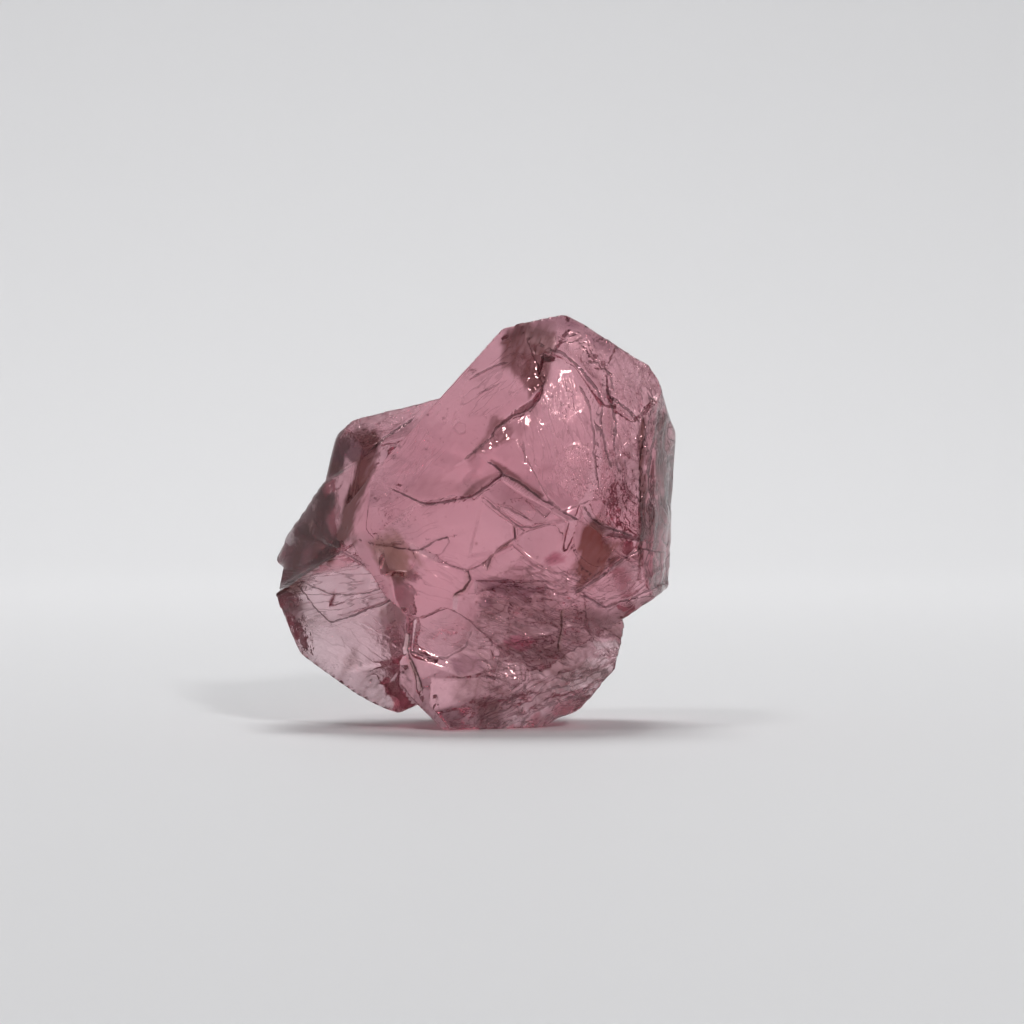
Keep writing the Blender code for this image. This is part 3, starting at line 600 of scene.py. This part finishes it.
def box_directions(settings):
    """Directions from the middle of a box through a closed grid on its six sides.

    The front is a fine square grid and the back one of half as many cells. Rings of points run
    back from the front's rim, first fine, then with every second point, and one row of triangles
    joins the two.
    """
    deep = HALF_BOX[1]
    front, number = sheet(settings.cells_across, -deep)
    points = [front]
    quads = [np.stack([number[:-1, :-1], number[1:, :-1], number[1:, 1:], number[:-1, 1:]],
                      -1).reshape(-1, 4)]
    triangles = []
    ring = rim_of(number)
    rim = front[ring] * (1, 0, 1)
    total = len(front)
    fine = np.linspace(-deep, -deep + FINE_SHARE * deep, settings.fine_rows + 1)[1:]
    coarse = np.linspace(fine[-1], deep, settings.coarse_rows + 2)[1:-1]
    for row, level in enumerate(np.concatenate([fine, coarse])):
        if row == len(fine):
            rim = rim[::2]
        following = np.arange(len(rim)) + total
        if row == len(fine):
            middle = ring[1::2]
            after = np.roll(following, -1)
            triangles = np.concatenate([
                np.stack([ring[::2], following, middle], -1),
                np.stack([middle, following, after], -1),
                np.stack([middle, after, np.roll(ring[::2], -1)], -1)])
        else:
            quads.append(strip(following, ring))
        points.append(rim + np.array((0, level, 0)))
        ring = following
        total += len(ring)
    back, number = sheet(settings.cells_across // 2, deep)
    number = number + total
    points.append(back)
    quads.append(np.stack([number[:-1, :-1], number[:-1, 1:], number[1:, 1:], number[1:, :-1]],
                          -1).reshape(-1, 4))
    quads.append(strip(rim_of(number), ring))
    points = np.concatenate(points)
    return points / np.linalg.norm(points, axis=1, keepdims=True), np.concatenate(quads), triangles


def block_reach(directions, breaks, sharpness):
    """Distance from the stone's centre to the skin of one convex block, along each direction.

    A break at distance h with normal n is met at h / (n . d). The block ends at the nearest one,
    taken as a power mean, which rounds the arris between two breaks very slightly.
    """
    table = np.array(list(breaks.values()))
    normals = facing(table[:, 3], table[:, 4])
    distance = ((table[:, :3] - STONE_CENTRE) * normals).sum(1)
    closeness = np.maximum(directions @ normals.T, 0.0) / distance
    nearest = closeness.max(1)
    mean = ((closeness / nearest[:, None]) ** sharpness).sum(1) ** (1.0 / sharpness)
    return 1.0 / (nearest * mean)


def smooth_step(value):
    """0 below 0, 1 above 1, and an even S-curve between."""
    value = np.clip(value, 0.0, 1.0)
    return value * value * (3.0 - 2.0 * value)


def from_stretch(points, start, end):
    """The stretch from start to end, where the points lie from its start, and how far off it."""
    run = end - start
    offset = points - start
    share = np.clip(offset @ run / (run @ run), 0.0, 1.0)
    return run, offset, np.linalg.norm(offset - share[:, None] * run, axis=1)


def inside_distance(points, outline):
    """Distance to a closed outline, positive inside it and negative outside."""
    corners = np.array(outline)
    nearest = np.full(len(points), FAR)
    inside = np.zeros(len(points), bool)
    for start, end in zip(corners, np.roll(corners, -1, 0)):
        run, _, distance = from_stretch(points, start, end)
        nearest = np.minimum(nearest, distance)
        if start[1] != end[1]:
            crosses = (start[1] > points[:, 1]) != (end[1] > points[:, 1])
            at = start[0] + (points[:, 1] - start[1]) * run[0] / run[1]
            inside ^= crosses & (points[:, 0] < at)
    return np.where(inside, nearest, -nearest)


def path_distance(points, path):
    """Distance to an open path and the side: positive on the left of its direction."""
    corners = np.array(path)
    nearest = np.full(len(points), FAR)
    side = np.ones(len(points))
    for start, end in zip(corners[:-1], corners[1:]):
        run, offset, distance = from_stretch(points, start, end)
        left = np.sign(run[0] * offset[:, 1] - run[1] * offset[:, 0])
        side = np.where(distance < nearest, left, side)
        nearest = np.minimum(nearest, distance)
    return nearest, side


def turned(seen, angle):
    """How far along and across a direction the points lie, the angle in degrees."""
    turn = math.radians(angle)
    along = math.cos(turn) * seen[:, 0] + math.sin(turn) * seen[:, 1]
    across = -math.sin(turn) * seen[:, 0] + math.cos(turn) * seen[:, 1]
    return along, across


def waves(points, size, seed):
    """Smooth noise between -1 and 1: random values on a cubic lattice, blended in threes."""
    lattice = np.random.default_rng(seed).uniform(-1.0, 1.0, (WAVE_CELLS,) * 3)
    place = points / size + 100.0
    cell = np.floor(place).astype(int)
    part = place - cell
    part = smooth_step(part)
    total = np.zeros(len(points))
    for corner in range(8):
        step = np.array([(corner >> axis) & 1 for axis in range(3)])
        weight = np.prod(np.where(step, part, 1.0 - part), axis=1)
        total += weight * lattice[tuple((cell + step).T % WAVE_CELLS)]
    return total


def facets(points, sizes, seed):
    """Height of a shattered surface: each point takes the tilted plane of its nearest seed.

    Seeds sit at random places, one in each cell of a lattice of the given sizes. Every seed has
    its own random level and tilt, so neighbouring facets meet in small steps and ridges. The
    second value is 1 on the lines between facets and 0 inside them.
    """
    random = np.random.default_rng(seed)
    lattice = (FACET_CELLS,) * 3
    shift = random.uniform(0.0, 1.0, (*lattice, 3))
    level = random.uniform(-1.0, 0.0, lattice)
    tilt = random.uniform(-1.0, 1.0, (*lattice, 3))
    place = points / np.array(sizes) + 4 * FACET_CELLS
    cell = np.floor(place).astype(int)
    nearest = np.full(len(points), FAR)
    second = np.full(len(points), FAR)
    height = np.zeros(len(points))
    for index in range(27):
        step = np.array((index // 9 - 1, index // 3 % 3 - 1, index % 3 - 1))
        at = tuple((cell + step).T % FACET_CELLS)
        offset = place - (cell + step + shift[at])
        distance = np.sqrt((offset ** 2).sum(1))
        slope = (offset * tilt[at]).sum(1)
        closer = distance < nearest
        second = np.where(closer, nearest, np.minimum(second, distance))
        nearest = np.where(closer, distance, nearest)
        height = np.where(closer, level[at] + slope, height)
    return height, np.exp(-((second - nearest) / 0.13) ** 2)


def layer_lines(seen, angle, spacing, seed):
    """Broken layer edges: a stepped random profile across lines that run at an angle.

    Also gives the wandering coordinates along and across the layers, in spacings.
    """
    along, across = turned(seen, angle)
    flat = np.stack([along * 0.45, across, np.zeros(len(seen))], -1)
    across = across + 0.30 * waves(flat, 1.1, seed) + 0.10 * waves(flat, 0.35, seed + 2)
    place = across / spacing + 200.0
    levels = np.random.default_rng(seed + 1).uniform(-1.0, 0.0, 400)
    cell = np.floor(place).astype(int)
    part = smooth_step((place - cell - 0.55) / 0.45)
    height = levels[cell % 400] * (1.0 - part) + levels[(cell + 1) % 400] * part
    return height, along / spacing, across / spacing


def specks(points, size, share, seed):
    """Tiny pits: 1 at the middle of a random spot in some cells of a lattice, 0 outside."""
    random = np.random.default_rng(seed)
    lattice = (FACET_CELLS,) * 3
    shift = random.uniform(0.2, 0.8, (*lattice, 3))
    width = random.uniform(0.05, 0.13, lattice) * (random.random(lattice) < share)
    place = points / size + 4 * FACET_CELLS
    cell = np.floor(place).astype(int)
    at = tuple(cell.T % FACET_CELLS)
    distance = np.linalg.norm(place - cell - shift[at], axis=1)
    return np.exp(-(distance / (width[at] + 1e-6)) ** 2)


def split_flakes(directions, reach, flakes, axes, side_axis, side, riser):
    """The reach after each flake has come off one side, down to its scar's plane.

    Inside the scar's outline the skin falls to the scar where that lies deeper. The rim is an
    S-shaped riser of the given width.
    """
    on_side = smooth_step(directions[:, side_axis] * side / 0.12)
    for outline, (x, y, z, lean, toward) in flakes.values():
        points = STONE_CENTRE + directions * reach[:, None]
        within = smooth_step(inside_distance(points[:, axes], outline) / riser + 0.5) * on_side
        normal = facing(lean, toward)
        distance = (np.array((x, y, z)) - STONE_CENTRE) @ normal
        along = directions @ normal
        scar = np.where(along > 0.05, distance / np.maximum(along, 0.05), 1e3)
        reach = reach + within * np.minimum(scar - reach, 0.0)
    return reach


def as_seen(points, distance):
    """Right and up as the camera sees the points, scaled to lengths at the front surface."""
    scale = (distance - FRONT_DEPTH) / (distance + points[:, 1:2])
    return EYE + (points[:, (0, 2)] - EYE) * scale


def front_relief(points, seen, riser):
    """Depth taken off the front, and the fields that its fine lines are drawn from.

    Ledges fall off on one side of their path, cracks are narrow grooves, shattered patches are
    random facets and layered patches are runs of small steps. The fields are the distance to the
    nearest line, that distance with the line's side as its sign, how dark that line is, which is
    painted shade along a ledge and dirt in a crack, how dark the facets' rims and the pits are and
    how dark layer lines are, both painted shade, and the places along and across them.
    """
    total = len(points)
    depth = np.zeros(total)
    fields = {"near": np.full(total, 9.0), "signed": np.full(total, 9.0),
              "line": np.zeros(total), "rims": np.zeros(total), "streaks": np.zeros(total),
              "grain": np.zeros((total, 3))}
    rims = fields["rims"]
    bend = np.stack([waves(points, 0.8, 51) + 0.45 * waves(points, 0.3, 52),
                     waves(points, 0.8, 53) + 0.45 * waves(points, 0.3, 54)], -1)
    wavy = seen + 0.06 * bend
    paths = [(path, drop, reach, 1.0, 0.0, darkness)
             for path, drop, reach, darkness in LEDGES.values()]
    paths += [(path, 0.0, 1.0, width, groove, darkness)
              for path, width, groove, darkness in CRACKS.values()]
    for path, drop, reach, width, groove, darkness in paths:
        distance, side = path_distance(wavy, path)
        fall = smooth_step(side * distance / riser + 0.5)
        depth += drop * fall * np.exp(-distance / reach)
        depth += groove * np.exp(-(distance / width) ** 2)
        closer = distance < fields["near"]
        for name, value in (("near", distance), ("signed", side * distance), ("line", darkness)):
            fields[name] = np.where(closer, value, fields[name])
    for number, (outline, across, up, slope, darkness) in enumerate(SHATTERED.values()):
        within = smooth_step(inside_distance(seen, outline) / PATCH_BORDER + 0.3)
        use = within > 0.0
        height, edge = facets(points[use], (across, across, up), 40 + number)
        depth[use] -= within[use] * slope * 0.25 * (across + up) * (height - 0.4)
        rims[use] = np.maximum(rims[use], within[use] * darkness * edge)
    for number, (outline, angle, spacing, high, darkness) in enumerate(LAYERED.values()):
        within = smooth_step(inside_distance(seen, outline) / PATCH_BORDER + 0.3)
        use = within > 0.0
        height, along, across = layer_lines(seen[use], angle, spacing, 80 + number)
        depth[use] -= within[use] * high * height
        darker = np.maximum(fields["streaks"][use], within[use] * darkness)
        stronger = darker > fields["streaks"][use]
        fields["streaks"][use] = darker
        place = np.stack([along / 5.0, across, np.full(len(along), 5.0 * number)], -1)
        fields["grain"][use] = np.where(stronger[:, None], place, fields["grain"][use])
    pits = specks(points, 0.9, 0.5, 61)
    depth += PIT_DEPTH * pits
    # The pits are painted darker too, as painted shade in them.
    fields["rims"] = np.maximum(rims, 0.6 * pits)
    return depth, fields


def back_relief(points):
    """Depth taken off the back and the sides, and the painted shade on the rims of their facets.

    Broad shell-like ripples spread from one corner. Coarse facets break up the plain faces, and
    finer ones gather in patches.
    """
    ripple_from = np.array((5.0, 8.0, 24.0))
    distance = np.linalg.norm(points - ripple_from, axis=1)
    ripples = 0.03 * np.sin(distance * 2.0 * math.pi / 1.4) * smooth_step((9.0 - distance) / 4.0)
    broken = smooth_step(waves(points, 4.5, 7) * 2.2 - 0.2)
    coarse, coarse_rim = facets(points, (2.4, 2.4, 2.0), 21)
    patches = smooth_step(waves(points, 3.2, 27) * 2.0 + 0.25)
    fine, fine_rim = facets(points, (0.9, 0.9, 0.7), 22)
    depth = -ripples - 0.20 * broken * (coarse - 0.6) - 0.05 * patches * (fine - 0.6)
    return depth, np.maximum(0.22 * broken * coarse_rim, 0.14 * patches * fine_rim)


def streaks_along(seen, run, seed):
    """Soft random streaks between 0 and 1, three times as long as wide, along one direction."""
    along, across = turned(seen, run)
    place = np.stack([along * 0.45, across * 1.5, np.full(len(seen), 3.0 * seed)], -1)
    streaks = 0.5 + 0.7 * waves(place, 0.9, 17) + 0.45 * waves(place, 0.34, 18)
    return np.clip(streaks + 0.25 * waves(place, 0.13, 19), 0.0, 1.0)


def front_tint(points, seen, rims, settings):
    """Colour of the skin over the front, laid on patch by patch, and how frosted it is.

    The brown and violet patches, the facets' rims and the pits are painted shade, and the clear
    patches lift it again; the rust, olive and deep pink patches and the dirt in the cracks are the
    stone's own colour. The glass shader takes the square root of its colour at each crossing of
    the skin, so the colours are squared at the end.
    """
    colours = {"clear": np.ones(3), "painted_shade": np.array(settings.painted_shade),
               "violet": np.array(settings.violet), "deep pink": np.array(settings.deep_pink),
               "rust": np.array(settings.rust), "olive": np.array(settings.olive)}
    tint = np.ones((len(points), 3))
    entries = TINTS.values()
    for number, (outline, colour, strength, border, thinning, run) in enumerate(entries):
        gap = inside_distance(seen, outline)
        near = gap > -2.0 * border
        streaks = streaks_along(seen[near], run, number)
        edge = (gap[near] + border * (streaks - 0.5)) / border + 0.5
        share = smooth_step(edge) * strength * (1.0 - thinning * streaks)
        tint[near] += share[:, None] * (colours[colour] - tint[near])
    # Painted shade along the facets' rims and in the pits.
    tint += rims[:, None] * (colours["painted_shade"] - tint)
    uneven = 0.5 + 0.5 * waves(points, 0.5, 13)
    dirt = np.zeros(len(points))
    for name in ("olive crack", "olive branch", "olive barb", "lower crack", "lump crack"):
        distance, _ = path_distance(seen, CRACKS[name][0])
        dirt = np.maximum(dirt, 0.8 * np.exp(-(distance / 0.13) ** 2) * uneven)
    tint += dirt[:, None] * (colours["olive"] - tint)
    frosted = 0.45 * dirt
    for outline, strength in FROSTED.values():
        edge = (inside_distance(seen, outline) + 0.3 * (uneven - 0.5)) / PATCH_BORDER + 0.5
        frosted = np.maximum(frosted, smooth_step(edge) * strength * (0.5 + 0.5 * uneven))
    return tint ** 2, frosted


def front_pitting(seen):
    """How strongly the skin is dimpled, place by place."""
    pitting = np.full(len(seen), 0.06)
    for outline, strength in PITTED.values():
        edge = inside_distance(seen, outline) / 0.8 + 0.5
        pitting = np.maximum(pitting, smooth_step(edge) * strength)
    return pitting


def skin_of(points, seen, front, back_rims, fields, settings):
    """The values that the material reads, for every point.

    They are the tint, how dull, frosted, dimpled and scuffed the skin is, and the fields that
    the fine lines are drawn from. Those fields can't be blended, so only their darkness fades.
    """
    use = front > 0.0
    share = front[use]
    total = len(points)
    tint, frosted = front_tint(points[use], seen[use], fields.pop("rims"), settings)
    patches = smooth_step(0.5 + 0.9 * waves(points, 2.6, 24))
    # The back's facet rims are painted darker, as painted shade.
    skin = {"tint": np.ones((total, 3)) - ((1.0 - front) * back_rims)[:, None],
            "dull": (1.0 - front) * (0.45 + 0.55 * patches),
            "frosted": np.zeros(total), "pitting": np.full(total, 0.4),
            "scuffed": smooth_step(0.6 + 1.1 * waves(points, 3.0, 23)),
            "near": np.full(total, 9.0), "signed": np.full(total, 9.0), "line": np.zeros(total),
            "streaks": np.zeros(total), "grain": np.zeros((total, 3))}
    skin["tint"][use] += share[:, None] * (tint - 1.0)
    skin["frosted"][use] = share * frosted
    skin["pitting"][use] += share * (front_pitting(seen[use]) - skin["pitting"][use])
    for name, field in fields.items():
        skin[name][use] = field
    skin["line"] *= front
    skin["streaks"] *= front
    return skin


def crystal_surface(settings, camera_distance):
    """Points, faces and skin of the whole crystal.

    Along each direction from the stone's centre the skin lies at the farthest of the blocks,
    less the flakes that have split off, less the small relief of that side.
    """
    directions, quads, triangles = box_directions(settings)
    reach = np.max([block_reach(directions, breaks, settings.edge_sharpness)
                    for breaks in BLOCKS], axis=0)
    riser = settings.riser / MM
    sides = (
        (FRONT_FLAKES, (0, 2), 1, -1.0, riser),
        (BACK_FLAKES, (0, 2), 1, 1.0, settings.back_riser / MM),
        (RIGHT_FLAKES, (1, 2), 0, 1.0, riser),
        (LEFT_FLAKES, (1, 2), 0, -1.0, riser),
    )
    for flakes, axes, side_axis, side, width in sides:
        reach = split_flakes(directions, reach, flakes, axes, side_axis, side, width)
    points = STONE_CENTRE + directions * reach[:, None]
    seen = as_seen(points, camera_distance / MM)
    front = smooth_step(0.5 - (points[:, 1] - 0.9 + 1.8 * waves(points, 3.4, 29)) / 3.8)
    use = front > 0.0
    relief, back_rims = back_relief(points)
    depth = (1.0 - front) * relief
    relief, fields = front_relief(points[use], seen[use], riser)
    depth[use] += front[use] * relief
    undulation = settings.undulation / MM
    depth += undulation * (1.0 + waves(points, 1.3, 3)) + 0.5 * undulation * waves(points, 0.6, 4)
    depth *= smooth_step(points[:, 2] / 0.4)
    skin = skin_of(points, seen, front, back_rims, fields, settings)
    points = STONE_CENTRE + directions * (reach - depth)[:, None]
    points[:, 2] = np.maximum(points[:, 2], 0.0)
    return points * MM, quads, triangles, skin


def new_mesh(name, points, quads, triangles=()):
    """A mesh object at the origin, from arrays of points, four-sided faces and triangles."""
    triangles = np.asarray(triangles, dtype=np.int32).reshape(-1, 3)
    corners = np.concatenate([quads.ravel(), triangles.ravel()]).astype(np.int32)
    starts = np.concatenate([np.arange(len(quads)) * 4,
                             quads.size + np.arange(len(triangles)) * 3]).astype(np.int32)
    mesh = bpy.data.meshes.new(name)
    mesh.vertices.add(len(points))
    mesh.vertices.foreach_set("co", points.astype(np.float32).ravel())
    mesh.loops.add(len(corners))
    mesh.loops.foreach_set("vertex_index", corners)
    mesh.polygons.add(len(starts))
    mesh.polygons.foreach_set("loop_start", starts)
    mesh.update(calc_edges=True)
    mesh.validate()
    piece = bpy.data.objects.new(name, mesh)
    bpy.context.scene.collection.objects.link(piece)
    return piece


def add_node(tree, kind, label, **values):
    """A shader node with its label; each named input takes a value or another node's output."""
    node = tree.nodes.new(kind)
    node.label = label
    for name, value in values.items():
        connect(tree, node.inputs[name], value)
    return node


def connect(tree, socket, value):
    """Give an input a plain value or link it to another node's output."""
    if isinstance(value, bpy.types.NodeSocket):
        tree.links.new(value, socket)
    else:
        socket.default_value = value


def combine(tree, label, operation, *values):
    """A Math node's result; each operand is a number or another node's output."""
    node = tree.nodes.new("ShaderNodeMath")
    node.operation = operation
    node.label = label
    for socket, value in zip(node.inputs, values):
        connect(tree, socket, value)
    return node.outputs["Value"]


def fade(tree, label, value, full, gone):
    """1 where the value is at `full`, 0 where it is at `gone`, and an S-curve between."""
    node = tree.nodes.new("ShaderNodeMapRange")
    node.label = label
    node.interpolation_type = "SMOOTHSTEP"
    for name, amount in (("Value", value), ("From Min", gone), ("From Max", full)):
        connect(tree, node.inputs[name], amount)
    return node.outputs["Result"]


def skin_value(tree, name, output="Fac"):
    """One of the values stored on the crystal's points."""
    node = tree.nodes.new("ShaderNodeAttribute")
    node.attribute_name = name
    node.label = name
    return node.outputs[output]


def crystal_lines(tree, settings, place, ripples):
    """Fine dark marks: painted shade along ledges and layers, dirt in cracks, flecks in the skin.
    """
    width = settings.line_width / MM
    wobble = 0.16
    aside = combine(tree, "aside of the line", "ABSOLUTE", skin_value(tree, "signed"))
    uneven = combine(tree, "uneven", "MULTIPLY_ADD", ripples, wobble, -0.5 * wobble)
    aside = combine(tree, "uneven line", "ADD", aside, uneven)
    thin = fade(tree, "thin line", aside, 0.2 * width, 0.6 * width)
    here = fade(tree, "on the line", skin_value(tree, "near"), wobble, 1.5 * wobble)
    drawn = combine(tree, "line here", "MULTIPLY", thin, here)
    drawn = combine(tree, "ledge lines", "MULTIPLY", drawn, skin_value(tree, "line"))
    layers = add_node(tree, "ShaderNodeTexNoise", "layers",
                      Vector=skin_value(tree, "grain", "Vector"), Scale=1.0, Detail=2.0)
    level = combine(tree, "from the middle", "SUBTRACT", layers.outputs["Fac"], 0.5)
    level = combine(tree, "layer level", "ABSOLUTE", level)
    layered = fade(tree, "thin layers", level, 0.008, 0.035)
    layered = combine(tree, "layer lines", "MULTIPLY", layered, skin_value(tree, "streaks"))
    marks = add_node(tree, "ShaderNodeTexNoise", "scuffs", Vector=place, Scale=1700.0,
                     Detail=3.0, Roughness=0.65)
    flecks = fade(tree, "flecks", marks.outputs["Fac"], 0.74, 0.62)
    flecks = combine(tree, "scuffed", "MULTIPLY", flecks, skin_value(tree, "scuffed"))
    return drawn, layered, flecks


def tourmaline_material(settings):
    """Clear pink crystal: glassy where fresh, duller behind, stained, with painted shade in
    places.
    """
    material = bpy.data.materials.new("clear pink tourmaline")
    material.use_nodes = True
    tree = material.node_tree
    shader = tree.nodes["Principled BSDF"]
    shader.inputs["IOR"].default_value = settings.refraction
    shader.inputs["Metallic"].default_value = 0.0
    shader.inputs["Transmission Weight"].default_value = 1.0
    shader.inputs["Specular Tint"].default_value = (*settings.glare_colour, 1.0)
    place = tree.nodes.new("ShaderNodeTexCoord").outputs["Object"]
    ripples = add_node(tree, "ShaderNodeTexNoise", "fine ripples", Vector=place, Scale=3200.0,
                       Detail=2.0).outputs["Fac"]
    lines, layers, flecks = crystal_lines(tree, settings, place, ripples)

    # Ledge and layer lines darken the colour as painted shade, crack lines as dirt, flecks as
    # scuffs.
    left = 1.0
    for label, mark, strength in (("ledge", lines, -0.9), ("layer", layers, -0.62),
                                  ("fleck", flecks, -0.45)):
        passed = combine(tree, f"past the {label}s", "MULTIPLY_ADD", mark, strength, 1.0)
        left = combine(tree, f"with the {label}s", "MULTIPLY", left, passed)
    squared = combine(tree, "for one crossing", "POWER", left, 2.0)
    darkened = tree.nodes.new("ShaderNodeVectorMath")
    darkened.operation = "SCALE"
    darkened.label = "tint with the marks"
    tree.links.new(skin_value(tree, "tint", "Vector"), darkened.inputs[0])
    tree.links.new(squared, darkened.inputs["Scale"])
    tree.links.new(darkened.outputs["Vector"], shader.inputs["Base Color"])

    duller = combine(tree, "duller behind", "MULTIPLY_ADD", skin_value(tree, "dull"),
                     settings.back_roughness - settings.front_roughness,
                     settings.front_roughness)
    frosted = combine(tree, "with frosting", "MULTIPLY_ADD", skin_value(tree, "frosted"), 0.8,
                      duller)
    rough = combine(tree, "with grain", "MULTIPLY_ADD", ripples, 0.03, frosted)
    tree.links.new(rough, shader.inputs["Roughness"])

    height = combine(tree, "dimples", "MULTIPLY", ripples, skin_value(tree, "pitting"))
    for label, mark, depth in (("ledges", lines, -0.5), ("layers", layers, -0.3)):
        height = combine(tree, f"height with {label}", "MULTIPLY_ADD", mark, depth, height)
    bump = add_node(tree, "ShaderNodeBump", "fine relief", Strength=1.0, Distance=0.1 * MM,
                    Height=height)
    tree.links.new(bump.outputs["Normal"], shader.inputs["Normal"])

    absorb = tree.nodes.new("ShaderNodeVolumeAbsorption")
    absorb.inputs["Color"].default_value = (*settings.absorbed_colour, 1.0)
    absorb.inputs["Density"].default_value = settings.absorption_density
    tree.links.new(absorb.outputs["Volume"], tree.nodes["Material Output"].inputs["Volume"])
    return material


def matt_material(name, paint):
    """Plain matt paint."""
    material = bpy.data.materials.new(name)
    material.use_nodes = True
    shader = material.node_tree.nodes["Principled BSDF"]
    shader.inputs["Base Color"].default_value = (*paint, 1.0)
    shader.inputs["Roughness"].default_value = 0.7
    return material


class TOURMALINE_OT_crystal(bpy.types.Operator):
    """Build the crystal in place of its plain solid"""

    bl_idname = "tourmaline.crystal"
    bl_label = "Rough crystal"

    def execute(self, context):
        settings = context.scene.tourmaline_crystal
        camera_distance = context.scene.tourmaline_studio.camera_distance
        points, quads, triangles, values = crystal_surface(settings, camera_distance)
        crystal = new_mesh("tourmaline_stone", points, quads, triangles)
        for name, field in values.items():
            vector = field.ndim == 2
            kind = "FLOAT_VECTOR" if vector else "FLOAT"
            layer = crystal.data.attributes.new(name, kind, "POINT")
            layer.data.foreach_set("vector" if vector else "value",
                                   field.astype(np.float32).ravel())
        crystal.data.shade_smooth()
        crystal.data.set_sharp_from_angle(angle=math.radians(32.0))
        crystal.data.materials.append(tourmaline_material(settings))
        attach(crystal, "root")
        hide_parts(NODE)
        return {"FINISHED"}


class TOURMALINE_OT_studio(bpy.types.Operator):
    """Build the pale floor, the lights and the camera"""

    bl_idname = "tourmaline.studio"
    bl_label = "Pale studio"

    def execute(self, context):
        settings = context.scene.tourmaline_studio
        self.sweep(settings)
        self.lights(context, settings)
        self.camera(context, settings)
        return {"FINISHED"}

    def sweep(self, settings):
        """A dish turned about the upright axis: flat floor, quarter circle, then a wall."""
        turns = 128
        curve = np.linspace(0.0, math.pi / 2.0, 14)
        radius = np.concatenate([(0.0, settings.floor_radius * 0.5),
                                 settings.floor_radius + settings.sweep_radius * np.sin(curve),
                                 (settings.floor_radius + settings.sweep_radius,)])
        height = np.concatenate([(0.0, 0.0), settings.sweep_radius * (1.0 - np.cos(curve)),
                                 (settings.wall_height,)])
        angle = np.linspace(0.0, 2.0 * math.pi, turns, endpoint=False)
        points = np.stack([radius[:, None] * np.cos(angle), radius[:, None] * np.sin(angle),
                           np.broadcast_to(height[:, None], (len(height), turns))], -1)
        ring = np.arange(len(radius) * turns).reshape(len(radius), turns)
        around = np.roll(ring, -1, 1)
        quads = np.stack([ring[:-1], ring[1:], around[1:], around[:-1]], -1).reshape(-1, 4)
        floor = new_mesh("studio_sweep", points.reshape(-1, 3), quads)
        floor.data.shade_smooth()
        floor.data.materials.append(matt_material("matt pale sweep", settings.floor_colour))

    def lights(self, context, settings):
        """A wide lamp over the backdrop, a soft key above the viewer and an even room."""
        world = bpy.data.worlds.new("even room")
        world.use_nodes = True
        tone = (settings.world_light,) * 3
        world.node_tree.nodes["Background"].inputs["Color"].default_value = (*tone, 1.0)
        context.scene.world = world
        context.scene.view_settings.view_transform = "Standard"
        wall_foot = (0.0, 0.42, 0.0)
        stone = (0.0, 0.0, 0.012)
        # Name, power, width, spread in degrees, place, and what it points at
        lamps = (
            ("backdrop lamp", settings.back_light, 0.5, 108, (0.0, 0.22, 0.9), wall_foot),
            ("soft key", settings.key_light, 0.18, 180, (-0.3, -0.35, 0.8), stone),
            ("small lamp", settings.glint_light, 0.07, 60, (0.18, -0.53, 0.26), stone),
        )
        for name, power, size, spread, place, target in lamps:
            lamp = bpy.data.lights.new(name, "AREA")
            lamp.shape = "DISK"
            lamp.size = size
            lamp.spread = math.radians(spread)
            lamp.energy = power
            holder = bpy.data.objects.new(name, lamp)
            holder.location = place
            toward = Vector(target) - Vector(place)
            holder.rotation_euler = toward.to_track_quat("-Z", "Y").to_euler()
            context.scene.collection.objects.link(holder)

    def camera(self, context, settings):
        """A level camera in front of the broad stepped face."""
        lens = bpy.data.cameras.new("camera")
        lens.lens = settings.lens
        lens.sensor_width = 36.0
        lens.clip_start = 0.01
        lens.clip_end = 10.0
        camera = bpy.data.objects.new("camera", lens)
        camera.location = (EYE[0] * MM, -settings.camera_distance, EYE[1] * MM)
        camera.rotation_euler = (math.pi / 2.0, 0.0, 0.0)
        context.scene.collection.objects.link(camera)
        context.scene.camera = camera


class TOURMALINE_PT_panel(bpy.types.Panel):
    """Lists the crystal, the studio and their settings"""

    bl_idname = "TOURMALINE_PT_panel"
    bl_label = "Rough Tourmaline"
    bl_space_type = "VIEW_3D"
    bl_region_type = "UI"
    bl_category = "Tourmaline"

    def draw(self, context):
        groups = (
            (TOURMALINE_OT_crystal, context.scene.tourmaline_crystal),
            (TOURMALINE_OT_studio, context.scene.tourmaline_studio),
        )
        for operator, settings in groups:
            box = self.layout.box()
            box.operator(operator.bl_idname)
            for name in settings.__annotations__:
                box.prop(settings, name)


CLASSES = (CrystalSettings, StudioSettings, TOURMALINE_OT_crystal, TOURMALINE_OT_studio,
           TOURMALINE_PT_panel)


def register():
    """Add the classes and their settings to Blender."""
    for item in CLASSES:
        bpy.utils.register_class(item)
    bpy.types.Scene.tourmaline_crystal = PointerProperty(type=CrystalSettings)
    bpy.types.Scene.tourmaline_studio = PointerProperty(type=StudioSettings)


def unregister():
    """Remove the classes and their settings again."""
    del bpy.types.Scene.tourmaline_studio
    del bpy.types.Scene.tourmaline_crystal
    for item in reversed(CLASSES):
        bpy.utils.unregister_class(item)


def main():
    """Build everything."""
    register()
    bpy.ops.tourmaline.studio()
    bpy.ops.tourmaline.crystal()


if __name__ == "__main__":
    main()
